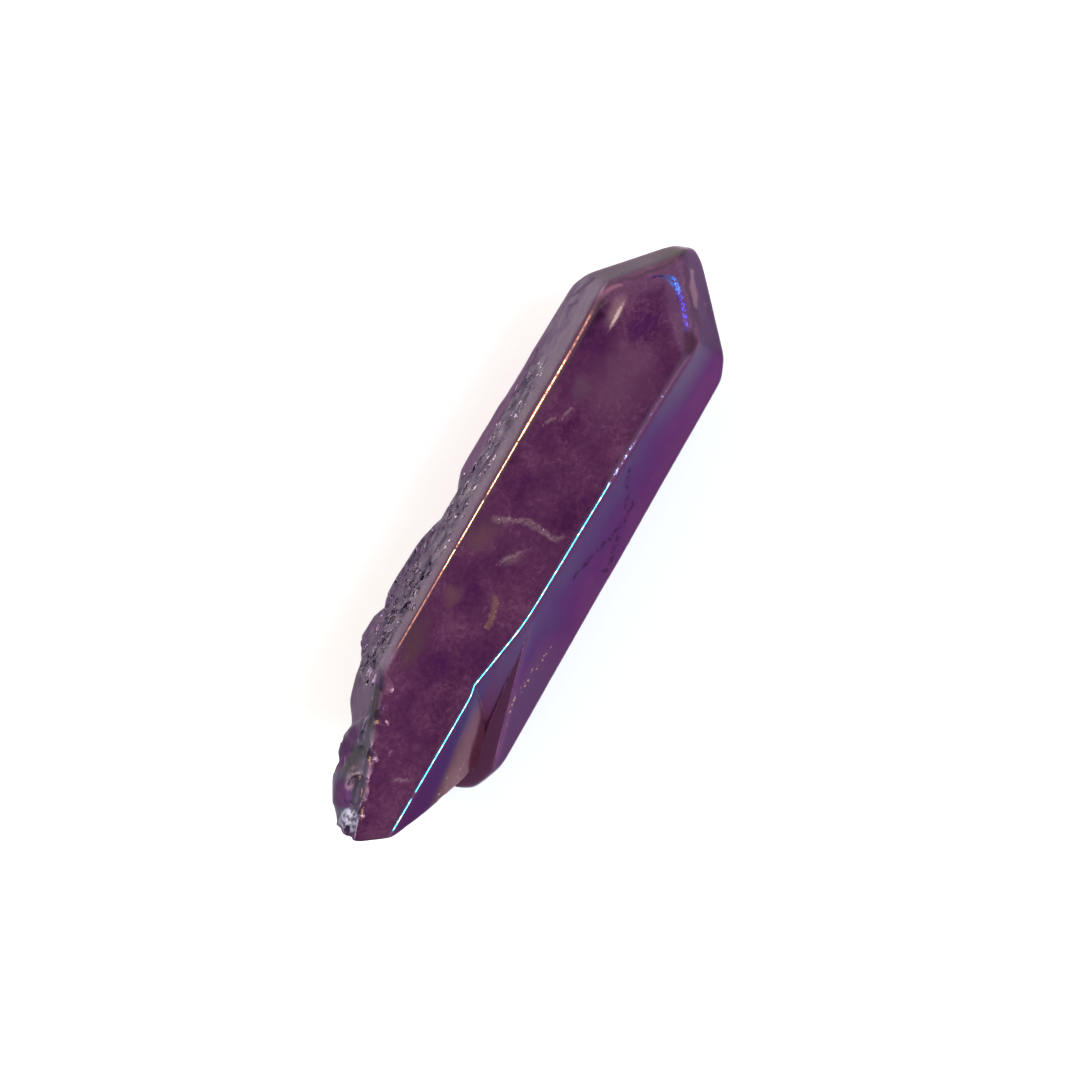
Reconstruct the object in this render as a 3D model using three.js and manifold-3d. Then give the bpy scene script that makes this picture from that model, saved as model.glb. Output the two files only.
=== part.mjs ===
// A purple aura quartz point: one tumble-softened quartz crystal, coated all over, lying on the flat
// prism face that the eye doesn't see. Millimetres, +Z up, tip towards +X, origin under its middle.
// Its growth faces keep the angles of quartz. Prism faces stand every 60 degrees round the long axis,
// and a rhombohedral face is a prism face leaned over by 38.21 degrees towards the tip.
import * as THREE from "three";
import { ConvexGeometry } from "three/addons/geometries/ConvexGeometry.js";
import { mergeVertices } from "three/addons/utils/BufferGeometryUtils.js";
import Module from "manifold-3d";

const wasm = await Module();
wasm.setup();

// Driving dimensions
const LENGTH = 56.8; // broken base to tip
const HEIGHT = 12.2; // face that rests to the broad top face
const TOP_LEFT_EDGE = 4.56; // half breadth of the top face at mid length, on the +Y side
const TOP_RIGHT_EDGE = 3.72; // the same on the -Y side
const LEFT_CORNER = 7.5; // reach of the +Y flank just before its first ledge
const LEDGE_DROP = 0.7; // how far the flank stands back past that ledge
const RIGHT_CORNER = 7.87; // reach of the -Y flank at mid length
const RHOMB_LEAN = 38.21; // from a prism face to the rhombohedral face above it, in degrees
const BODY_ROUND = 0.75; // what tumbling took off the edges, as a radius
const EDGE_ROUND = 0.4; // the same along the crisper edges of the base half
const LEDGE_ROUND = 0.6; // the same on the growth ledges of the +Y flank
const INSET = 0.02; // how far a grown-in block stays behind a leaning face it shares with the body

// Azimuths of the six prism faces, from +Y towards +Z, in degrees
const TOP = 90;
const TOP_LEFT = 30;
const LOW_LEFT = -30;
const UNDER = -90;
const LOW_RIGHT = -150;
const TOP_RIGHT = 150;

const BACK = -LENGTH / 2;

/** Unit normal of a prism face at an azimuth, leaned towards the tip by so many degrees. */
function normal(azimuth, lean = 0) {
  const a = THREE.MathUtils.degToRad(azimuth);
  const l = THREE.MathUtils.degToRad(lean);
  return new THREE.Vector3(Math.sin(l), Math.cos(l) * Math.cos(a), Math.cos(l) * Math.sin(a));
}

/** A flat face with that outward direction through a point: all of the crystal lies behind it. */
function face(direction, x, y, z) {
  const n = direction.clone().normalize();
  return { n, d: n.dot(new THREE.Vector3(x, y, z)) };
}

/** The same face, moved outwards by so much. */
function moved(plane, by) {
  return { n: plane.n, d: plane.d + by };
}

/** The height of a sloping face above a point of the ground. */
function heightOn(plane, x, y) {
  return (plane.d - plane.n.x * x - plane.n.y * y) / plane.n.z;
}

const vector = (x, y, z) => new THREE.Vector3(x, y, z);

// The prism. The two upper flanks lean a little, so the top face narrows towards the base.
const top = face(normal(TOP), 0, 0, HEIGHT);
const under = face(normal(UNDER), 0, 0, 0);
const topLeft = face(normal(TOP_LEFT, 0.84), 0, TOP_LEFT_EDGE, HEIGHT);
const topRight = face(normal(TOP_RIGHT, -1.71), 0, -TOP_RIGHT_EDGE, HEIGHT);
const lowLeft = cornerBelow(topLeft, normal(LOW_LEFT, 2.7), 5, LEFT_CORNER);
const lowLeftBack = cornerBelow(topLeft, normal(LOW_LEFT, 1), 0, LEFT_CORNER - LEDGE_DROP + 0.17);
const lowRight = cornerBelow(topRight, normal(LOW_RIGHT, 0.99), 0, -RIGHT_CORNER);

/** A lower flank that meets an upper one where that one reaches a given breadth. */
function cornerBelow(upper, direction, x, breadth) {
  return face(direction, x, breadth, heightOn(upper, x, breadth));
}

// The termination: three large rhombohedral faces, two small ones between them, and a faint slope
// that lets the top face sink towards the tip.
const tipLeft = face(normal(TOP_LEFT, RHOMB_LEAN), 23.95, 2.75, HEIGHT);
const tipRight = face(normal(TOP_RIGHT, RHOMB_LEAN), 24.15, -2.4, HEIGHT);
const tipLowLeft = face(normal(LOW_LEFT, RHOMB_LEAN), 25.35, 3.5, 8.4);
const tipLowRight = face(normal(LOW_RIGHT, RHOMB_LEAN), 24.9, -4.25, 7.6);
const tipUnder = face(normal(UNDER, RHOMB_LEAN), 18.6, 0, 0);
const tipTop = face(normal(TOP, 5), 18.5, 0, HEIGHT);
const tipWorn = face(vector(1, -0.15, 0.1), LENGTH / 2, -0.3, 8);
const termination = [tipLeft, tipRight, tipLowLeft, tipLowRight, tipUnder, tipTop, tipWorn];

// The base half of the +Y flank turns inwards, in plan, by about 19 degrees.
const baseLeft = face(vector(-0.282, 0.819, 0.5), -18.3, 3.6, HEIGHT);
const baseLowLeft = face(vector(-0.344, 1, -0.3), -18.3, 5.35, 8.2);

// The sidecar crystal is the lower storey on the -Y side. Its own top slopes away from the main
// crystal's wall and leaves the cleft between them.
const cleftFloor = face(vector(-0.442, -0.089, 0.893), -7.3, -4.4, 10.59);
const sidecarEnd = face(vector(-0.76, -0.62, 0.12), -19.8, -6.3, 4.2);
const sidecarHeel = face(vector(-0.9, -0.25, -0.36), -21.1, -4.8, 5);

// The main crystal's own right wall: it runs in from the flank, then back out again past a kink,
// and steepens below a ridge.
const wallRunIn = face(vector(-0.152, -0.853, 0.5), -5.8, -3.52, HEIGHT);
const wallBase = face(vector(-0.017, -0.866, 0.5), -21.7, -2.44, HEIGHT);
const wallSteep = face(vector(0.017, -0.924, 0.381), -16.3, -5.34, 6.04);
const wallKink = face(vector(0.26, -0.9, 0.35), -12.2, -2.4, HEIGHT);

// The broken base
const baseEnd = face(vector(-0.94, -0.16, -0.26), BACK + 0.4, -0.3, 10.6);
const baseRight = face(vector(-0.8, -0.58, -0.1), -26.85, -2.1, 11);
const baseFlank = face(vector(-0.55, -0.6, -0.402), -26.3, -2.8, 11.5);
const baseHeel = face(vector(-0.62, 0.05, -0.75), -24.8, 0, 3.6);
const baseUnder = face(vector(-0.2, 0.05, -0.98), -21, 0, 0.5);

/** Every corner of the space behind all the faces, with the three faces that meet there. */
function cornersOf(planes) {
  const found = [];
  const cross = vector(0, 0, 0);
  planes.forEach((a, i) =>
    planes.slice(i + 1).forEach((b, j) =>
      planes.slice(i + j + 2).forEach((c) => {
        const size = a.n.dot(cross.crossVectors(b.n, c.n));
        if (Math.abs(size) < 1e-6) return;
        const at = vector(0, 0, 0)
          .addScaledVector(vector(0, 0, 0).crossVectors(b.n, c.n), a.d / size)
          .addScaledVector(vector(0, 0, 0).crossVectors(c.n, a.n), b.d / size)
          .addScaledVector(vector(0, 0, 0).crossVectors(a.n, b.n), c.d / size);
        if (planes.every((p) => p.n.dot(at) < p.d + 1e-6)) found.push({ at, faces: [a, b, c] });
      }),
    ),
  );
  return found;
}

/** The solid behind all the faces, its edges and corners rounded to a radius in so many steps. */
function crystal(planes, radius, steps = 3) {
  const points = [];
  for (const { at, faces } of cornersOf(planes.map((p) => moved(p, -radius)))) {
    const [a, b, c] = faces.map((f) => f.n);
    for (let i = 0; i <= steps; i++) {
      for (let j = 0; i + j <= steps; j++) {
        const out = vector(0, 0, 0)
          .addScaledVector(a, i)
          .addScaledVector(b, j)
          .addScaledVector(c, steps - i - j);
        points.push(at.clone().addScaledVector(out.normalize(), radius));
      }
    }
  }
  return solidOf(new ConvexGeometry(points));
}

/** A closed three.js geometry as a manifold solid. */
function solidOf(geometry) {
  const bare = geometry.index ? geometry.toNonIndexed() : geometry;
  bare.deleteAttribute("normal");
  bare.deleteAttribute("uv");
  const merged = mergeVertices(bare, 1e-4);
  return new wasm.Manifold(
    new wasm.Mesh({
      numProp: 3,
      vertProperties: new Float32Array(merged.attributes.position.array),
      triVerts: new Uint32Array(merged.index.array),
    }),
  );
}

/** The body from the tip to the sidecar's end, with the cleft floor cut across its base half. */
function bodyBlock() {
  const flanks = [top, topLeft, lowLeftBack, under, lowRight, topRight];
  const base = [cleftFloor, sidecarEnd, sidecarHeel, moved(baseLeft, -INSET), moved(baseLowLeft, -0.5)];
  return crystal([...flanks, ...termination, ...base], BODY_ROUND);
}

/** The tip half's own outer layer on the +Y side. It ends in the first ledge. */
function tipLayer() {
  const end = face(vector(-0.5, 0.85, -0.2), 1.9, 7.16, 7.2);
  const back = face(vector(-1, 0, 0), 0, 0, 0);
  const shared = [topLeft, topRight, lowRight, under, ...termination].map((p) => moved(p, -INSET));
  return crystal([top, ...shared, lowLeft, end, back], BODY_ROUND);
}

/** The main crystal above the cleft, in two blocks that meet at the kink of its right wall. */
function mainBlocks() {
  const flanks = [topLeft, moved(lowLeftBack, -0.1), moved(lowRight, -0.6), moved(under, -0.8)];
  const near = [top, ...flanks.map((p) => moved(p, -INSET)), moved(topRight, -INSET), wallRunIn];
  const middle = face(vector(1, 0, 0), 8, 0, 0);
  const behindKink = face(vector(-1, 0.1, 0), -16.5, 0, 0);
  const far = [top, ...flanks.map((p) => moved(p, -2 * INSET)), baseLeft, baseLowLeft];
  const walls = [wallKink, wallBase, wallSteep, face(vector(1, 0, 0), -2, 0, 0)];
  return [
    crystal([...near, middle, behindKink, moved(baseLeft, -INSET), moved(baseLowLeft, -0.2)], EDGE_ROUND),
    crystal([...far, ...walls, baseEnd, baseRight, baseFlank, baseHeel, baseUnder], EDGE_ROUND),
  ];
}

// The growth ledges of the +Y flank and the knobs of its base. The outline is where the outer faces
// of each one meet its upper face, as x and y seen from above, tip end first. Lip says how far its
// upper face lies above the flank, and foot is the height where it stops.
const LEDGES = [
  { outline: [[-0.4, 6.7], [-3.6, 7.68], [-9.2, 7.94], [-11.2, 7.1]], lip: 0.02, foot: 0.6 },
  { outline: [[-9.4, 7.1], [-11.2, 7.96], [-13.4, 8.0], [-14.3, 7.6], [-16.4, 6.2]], lip: 0.02, foot: 1.8 },
];
const BASE_LEDGES = [
  { outline: [[-13.8, 7.2], [-16, 6.92], [-18.5, 6.2], [-21.4, 4.0]], lip: 0.1, foot: 2.4 },
  { outline: [[-19.0, 4.2], [-21.1, 5.3], [-22.6, 5.25], [-25.4, 3.4]], lip: 0.35, foot: 3.2 },
  { outline: [[-22.4, 4.3], [-24.6, 4.4], [-27.2, 2.85], [-27.6, 1.8]], lip: 0.3, foot: 3.8 },
  { outline: [[-24.8, 3.9], [-26.2, 3.3], [-28.5, 1.95], [-29, 1.3], [-28.2, 0]], lip: 0.1, foot: 4.6 },
];
const LEDGE_DEPTH = 3; // how far each one reaches into the crystal
const UNDERCUT = vector(0, -0.5, -0.87); // the way the outer faces run downwards

/** One ledge or knob: a block under a flank, bounded by its own outer faces. */
function ledge(flank, { outline, lip, foot }) {
  const upper = moved(flank, lip);
  const rim = outline.map(([x, y]) => vector(x, y, heightOn(upper, x, y)));
  const outer = rim.slice(1).map((to, i) => {
    const along = to.clone().sub(rim[i]);
    return face(UNDERCUT.clone().cross(along), to.x, to.y, to.z);
  });
  const xs = outline.map(([x]) => x);
  const breadth = Math.max(...outline.map(([, y]) => y));
  const ends = [face(vector(1, 0, 0), xs[0], 0, 0), face(vector(-1, 0, 0), Math.min(...xs), 0, 0)];
  const inner = face(vector(0, -1, 0), 0, breadth - LEDGE_DEPTH, 0);
  const bottom = face(vector(0, 0.3, -1), xs[0], outline[0][1], foot);
  const covers = [moved(top, -0.9), moved(topLeft, lip > 0.05 ? -2 * INSET : lip)];
  return crystal([upper, ...covers, ...outer, ...ends, inner, bottom], LEDGE_ROUND);
}

// The etched pits on the upper +Y flank lie in a belt below its crisp edge and run with the axis.
const PIT_COUNT = 48;
const PIT_BELT = { from: -17, to: 13.5, near: 1.7, far: 5.2 };
const SEED = 20;

/** A number from 0 to 1 that looks random and is the same for the same whole number. */
function chance(i) {
  const wave = Math.sin((i + SEED) * 12.9898) * 43758.5453;
  return wave - Math.floor(wave);
}

/** The etched pits, each a long shallow dimple. */
function pits() {
  const down = vector(0, 0.5, -Math.sqrt(3) / 2);
  return Array.from({ length: PIT_COUNT }, (_, i) => {
    const along = (i + chance(4 * i)) / PIT_COUNT;
    const x = THREE.MathUtils.lerp(PIT_BELT.from, PIT_BELT.to, along);
    const s = THREE.MathUtils.lerp(PIT_BELT.near, PIT_BELT.far, chance(4 * i + 1));
    const size = chance(4 * i + 2) ** 2;
    const edge = vector(x, TOP_LEFT_EDGE - 0.0147 * x, HEIGHT);
    const at = edge.addScaledVector(down, s).addScaledVector(topLeft.n, 0.05);
    const dimple = new THREE.IcosahedronGeometry(1, 1);
    dimple.scale(0.26 + 0.5 * size, 0.15 + 0.24 * size, 0.18 + 0.2 * size);
    dimple.rotateZ(0.5 * (chance(4 * i + 3) - 0.5));
    dimple.rotateX(THREE.MathUtils.degToRad(TOP_LEFT - 90));
    dimple.translate(at.x, at.y, at.z);
    return solidOf(dimple);
  });
}

// The shell-shaped chips of the broken base: the face each one is on, where, and its hollow
const CHIPS = [
  { broken: baseFlank, x: -23.4, y: -1.7, radius: 3.6, depth: 0.6 },
  { broken: baseFlank, x: -21.4, y: -3.4, radius: 2.4, depth: 0.4 },
  { broken: baseHeel, x: -22.6, y: 1.7, radius: 3.2, depth: 0.5 },
  { broken: baseEnd, x: -26.9, y: 0.6, radius: 2.6, depth: 0.35 },
  { broken: sidecarHeel, x: -19.8, y: -2.6, radius: 2.8, depth: 0.4 },
];

/** The bodies that knock the chips off the base. */
function chips() {
  return CHIPS.map(({ broken, x, y, radius, depth }) => {
    const at = vector(x, y, heightOn(broken, x, y)).addScaledVector(broken.n, radius - depth);
    const ball = new THREE.IcosahedronGeometry(radius, 6);
    ball.translate(at.x, at.y, at.z);
    return solidOf(ball);
  });
}

/** The whole crystal, grown together, pitted and chipped. */
function quartzPoint() {
  const ledges = [
    ...LEDGES.map((spec) => ledge(topLeft, spec)),
    ...BASE_LEDGES.map((spec) => ledge(baseLeft, spec)),
  ];
  const grown = [bodyBlock(), tipLayer(), ...mainBlocks(), ...ledges];
  return [...pits(), ...chips()].reduce(
    (solid, hollow) => solid.subtract(hollow),
    grown.reduce((solid, block) => solid.add(block)),
  );
}

/** A manifold solid as a three.js geometry. */
function geometryOf(solid) {
  const mesh = solid.getMesh();
  const geometry = new THREE.BufferGeometry();
  geometry.setAttribute("position", new THREE.BufferAttribute(mesh.vertProperties, mesh.numProp));
  geometry.setIndex(new THREE.BufferAttribute(mesh.triVerts, 1));
  geometry.computeVertexNormals();
  return geometry;
}

const aura = new THREE.MeshStandardMaterial({ color: 0x5a2a5c, roughness: 0.16, metalness: 0.35 });
const point = new THREE.Mesh(geometryOf(quartzPoint()), aura);
point.name = "quartz_point";

const group = new THREE.Group();
group.add(point);
export default group;
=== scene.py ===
"""A purple aura quartz point lying on a pale floor, under soft studio light.

The crystal is one grown body. Its surface is found from flat growth faces with softened edges, then
pitted, chipped and roughened where the real one is. Lengths are millimetres in the part's own frame
(+X to the tip, +Z out of the broad top face) and become metres only where a mesh is made.
"""

from __future__ import annotations

import logging
import math
from dataclasses import dataclass, field
from enum import Enum
from typing import ClassVar

import bmesh
import bpy
import numpy as np
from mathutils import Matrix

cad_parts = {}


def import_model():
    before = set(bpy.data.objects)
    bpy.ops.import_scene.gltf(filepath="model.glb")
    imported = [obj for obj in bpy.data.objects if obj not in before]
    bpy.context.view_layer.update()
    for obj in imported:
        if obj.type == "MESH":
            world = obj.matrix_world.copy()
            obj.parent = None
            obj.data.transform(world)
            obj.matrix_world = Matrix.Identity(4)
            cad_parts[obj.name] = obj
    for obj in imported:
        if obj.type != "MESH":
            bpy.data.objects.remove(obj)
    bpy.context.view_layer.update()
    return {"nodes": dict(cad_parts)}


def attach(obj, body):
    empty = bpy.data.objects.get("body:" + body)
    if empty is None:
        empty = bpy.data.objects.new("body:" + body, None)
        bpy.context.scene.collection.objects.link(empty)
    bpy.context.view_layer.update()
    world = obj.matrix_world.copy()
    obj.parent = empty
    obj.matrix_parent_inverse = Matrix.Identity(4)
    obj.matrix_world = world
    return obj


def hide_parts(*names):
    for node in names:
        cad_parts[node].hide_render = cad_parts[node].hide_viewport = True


MM = 0.001
NODE = "quartz_point"
# The keenness of the soft maximum of a block's faces, times the radius of its edges.
EDGE_KEENNESS = 5.16
Colour = tuple[float, float, float]
Point = tuple[float, float, float]
Spot = tuple[float, float]


class Region(Enum):
    """The parts of the skin that take their own colour from the coating."""

    TOP = "top"
    LEFT = "left"
    RIGHT = "right"
    WALL_HIGH = "wall_high"
    WALL_LOW = "wall_low"
    CLEFT = "cleft"
    TIP_LEFT = "tip_left"
    TIP_RIGHT = "tip_right"
    LOW = "low"
    BROKEN = "broken"
    KNOB = "knob"
    BEVEL = "bevel"


def srgb(red: int, green: int, blue: int) -> Colour:
    """A colour as it looks on a screen, 0 to 255, made linear.

    Args:
        red: Red as seen.
        green: Green as seen.
        blue: Blue as seen.

    Returns:
        The linear colour.
    """
    seen = (channel / 255 for channel in (red, green, blue))
    return tuple(c / 12.92 if c <= 0.04045 else ((c + 0.055) / 1.055) ** 2.4 for c in seen)


def smooth_step(low: float, high: float, value: np.ndarray) -> np.ndarray:
    """Goes smoothly from 0 at low to 1 at high."""
    t = np.clip((value - low) / (high - low), 0.0, 1.0)
    return t * t * (3 - 2 * t)


def lattice_noise(at: np.ndarray, size: float, seed: int) -> np.ndarray:
    """Smooth noise from -1 to 1, the same on every run.

    Args:
        at: N points.
        size: The distance over which the noise changes.
        seed: Picks one of many such noises.

    Returns:
        N numbers.
    """
    scaled = at / size + seed * 17.37
    corner = np.floor(scaled).astype(np.int64)
    part = scaled - corner
    part = part * part * part * (part * (part * 6 - 15) + 10)
    total = np.zeros(len(at))
    for i in range(8):
        step = np.array([i & 1, (i >> 1) & 1, (i >> 2) & 1])
        cell = corner + step
        mixed = cell[:, 0] * 374761393 + cell[:, 1] * 668265263 + cell[:, 2] * 2147483647 + seed * 974711
        mixed = (mixed ^ (mixed >> 13)) * 1274126177 & 0x7FFFFFFF
        mixed = (mixed ^ (mixed >> 16)) & 0xFFFF
        weight = np.where(step, part, 1 - part).prod(1)
        total += weight * (mixed / 32767.5 - 1)
    return total


@dataclass(frozen=True)
class Face:
    """A flat face of a crystal. All of the crystal lies behind it."""

    normal: Point
    offset: float
    region: Region

    @classmethod
    def through(cls, direction: Point, point: Point, region: Region) -> Face:
        """The face with an outward direction that goes through a point.

        Args:
            direction: Outwards, of any length.
            point: A point on the face.
            region: What the face is part of.

        Returns:
            The face.
        """
        normal = np.array(direction, float)
        normal /= np.linalg.norm(normal)
        return cls(tuple(normal), float(normal @ np.array(point)), region)

    def moved(self, by: float) -> Face:
        """The same face, moved outwards."""
        return Face(self.normal, self.offset + by, self.region)

    def painted(self, region: Region) -> Face:
        """The same face as part of another region."""
        return Face(self.normal, self.offset, region)

    def height(self, x: float, y: float) -> float:
        """The height of a sloping face above a point of the ground."""
        return (self.offset - self.normal[0] * x - self.normal[1] * y) / self.normal[2]

    def beyond(self, at: np.ndarray) -> np.ndarray:
        """How far outside the face each point is."""
        return at @ np.array(self.normal) - self.offset


def prism_normal(azimuth: float, lean: float = 0.0) -> Point:
    """The normal of a prism face.

    Args:
        azimuth: Its turn about the long axis, from +Y towards +Z, in degrees.
        lean: How far it leans over towards the tip, in degrees.

    Returns:
        The unit normal.
    """
    a, b = math.radians(azimuth), math.radians(lean)
    return (math.sin(b), math.cos(b) * math.cos(a), math.cos(b) * math.sin(a))


@dataclass(frozen=True)
class Block:
    """A solid bounded by flat faces, its edges worn to a radius."""

    faces: tuple[Face, ...]
    radius: float
    join: float = 0.03
    crown: float = 0.0
    crown_reach: float = 0.7

    def _reach(self, at: np.ndarray) -> np.ndarray:
        """How far outside each face each point is.

        The top face bends down towards the tip where the block has a crown.

        Args:
            at: N points.

        Returns:
            N rows of one distance for each face.
        """
        normals = np.array([f.normal for f in self.faces])
        offsets = np.array([f.offset for f in self.faces])
        reach = at @ normals.T - offsets
        if self.crown:
            tips = [i for i, f in enumerate(self.faces) if f.region in (Region.TIP_LEFT, Region.TIP_RIGHT)]
            tops = [i for i, f in enumerate(self.faces) if f.region is Region.TOP]
            past = np.minimum(reach[:, tips].max(1), 0.2)
            reach[:, tops] += self.crown * np.exp(past / self.crown_reach)[:, None]
        return reach

    def depth(self, at: np.ndarray) -> np.ndarray:
        """How far outside the solid each point is, negative inside.

        Args:
            at: N points.

        Returns:
            N distances, exact on the flats and soft round the edges.
        """
        reach = self._reach(at)
        nearest = reach.max(1)
        keen = EDGE_KEENNESS / self.radius
        return nearest + np.log(np.exp(keen * (reach - nearest[:, None])).sum(1)) / keen

    def shares(self, at: np.ndarray) -> dict[Region, np.ndarray]:
        """How much each region owns of each point.

        Args:
            at: N points.

        Returns:
            N shares for each region, which add up to 1.
        """
        reach = self._reach(at) * EDGE_KEENNESS / self.radius
        weight = np.exp(reach - reach.max(1, keepdims=True))
        weight /= weight.sum(1, keepdims=True)
        found: dict[Region, np.ndarray] = {}
        for i, face in enumerate(self.faces):
            found[face.region] = found.get(face.region, 0) + weight[:, i]
        return found


@dataclass
class Ledge:
    """A growth ledge or knob on the left flank, given by the rim of its upper face seen from above."""

    outline: tuple[Spot, ...]
    lip: float
    foot: float
    region: Region = Region.LEFT
    depth: float = 3.0
    radius: float = 0.6
    join: float = 0.03
    below_top: float = 0.9
    undercut: Point = (0.0, -0.5, -0.87)

    def block(self, flank: Face, top: Face, cover: Face) -> Block:
        """The ledge as a solid.

        Args:
            flank: The flank that the ledge is on.
            top: The broad top face of the crystal.
            cover: The upper left flank, which no ledge passes.

        Returns:
            The block.
        """
        upper = flank.moved(self.lip).painted(self.region)
        rim = [np.array([x, y, upper.height(x, y)]) for x, y in self.outline]
        faces = [upper, top.moved(-self.below_top).painted(self.region)]
        faces.append(cover.moved(self.lip if self.lip < 0.05 else 0.0))
        for start, end in zip(rim, rim[1:]):
            faces.append(Face.through(np.cross(self.undercut, end - start), end, self.region))
        xs = [x for x, _ in self.outline]
        faces.append(Face.through((1, 0, 0), (xs[0], 0, 0), self.region))
        faces.append(Face.through((-1, 0, 0), (min(xs), 0, 0), self.region))
        inner = max(y for _, y in self.outline) - self.depth
        faces.append(Face.through((0, -1, 0), (0, inner, 0), self.region))
        faces.append(Face.through((0, 0.3, -1), (xs[0], self.outline[0][1], self.foot), self.region))
        return Block(tuple(faces), self.radius, self.join)


@dataclass
class Hollows:
    """Bowls taken out of the skin: etched pits and the shell-shaped chips of a break."""

    centres: np.ndarray
    radii: np.ndarray
    turns: np.ndarray
    warp: float = 0.0

    def depth(self, at: np.ndarray) -> np.ndarray:
        """How far inside the nearest bowl each point is, negative outside all of them.

        Args:
            at: N points.

        Returns:
            N distances.
        """
        moved = at
        if self.warp:
            shift = [lattice_noise(at, 0.55, seed) for seed in (31, 32, 33)]
            moved = at + self.warp * np.stack(shift, 1)
        best = np.full(len(at), -9.0)
        spread = self.radii.max(1) * 1.6 + 0.5
        low = (self.centres - spread[:, None]).min(0)
        high = (self.centres + spread[:, None]).max(0)
        rows = np.flatnonzero(((at > low) & (at < high)).all(1))
        where, there = moved[rows], best[rows]
        for centre, radii, turn, reach in zip(self.centres, self.radii, self.turns, spread):
            near = np.abs(where - centre).max(1) < reach
            local = (where[near] - centre) @ turn
            inside = (1 - np.linalg.norm(local / radii, axis=1)) * radii.min()
            there[near] = np.maximum(there[near], inside)
        best[rows] = there
        return best


@dataclass
class Shards:
    """Scars of small breaks: shallow scoops of all tilts that meet in sharp ridges."""

    low: Point
    high: Point
    count: int
    lean: float
    bowl: float
    seed: int
    centres: np.ndarray = field(init=False)
    tilts: np.ndarray = field(init=False)
    shades: np.ndarray = field(init=False)

    def __post_init__(self) -> None:
        """Scatters the scars."""
        rng = np.random.default_rng(self.seed)
        self.centres = rng.uniform(self.low, self.high, (self.count, 3))
        self.tilts = rng.normal(0, self.lean, (self.count, 3))
        self.shades = rng.uniform(0, 1, self.count)

    def scars(self, at: np.ndarray) -> tuple[np.ndarray, np.ndarray]:
        """The scarred height and the shade of the scar at each point.

        Args:
            at: N points.

        Returns:
            N heights about 0, and N shades from 0 to 1.
        """
        height = np.full(len(at), 1.0)
        shade = np.full(len(at), 0.5)
        near = ((at > np.array(self.low) - 1) & (at < np.array(self.high) + 1)).all(1)
        if near.any():
            inside = at[near]
            square = ((inside**2).sum(1)[:, None] - 2 * inside @ self.centres.T) + (self.centres**2).sum(1)
            lift = inside @ self.tilts.T - (self.centres * self.tilts).sum(1) + self.bowl * square
            first = lift.argmin(1)
            height[near] = lift[np.arange(len(inside)), first]
            shade[near] = self.shades[first]
        return height, shade


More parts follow.
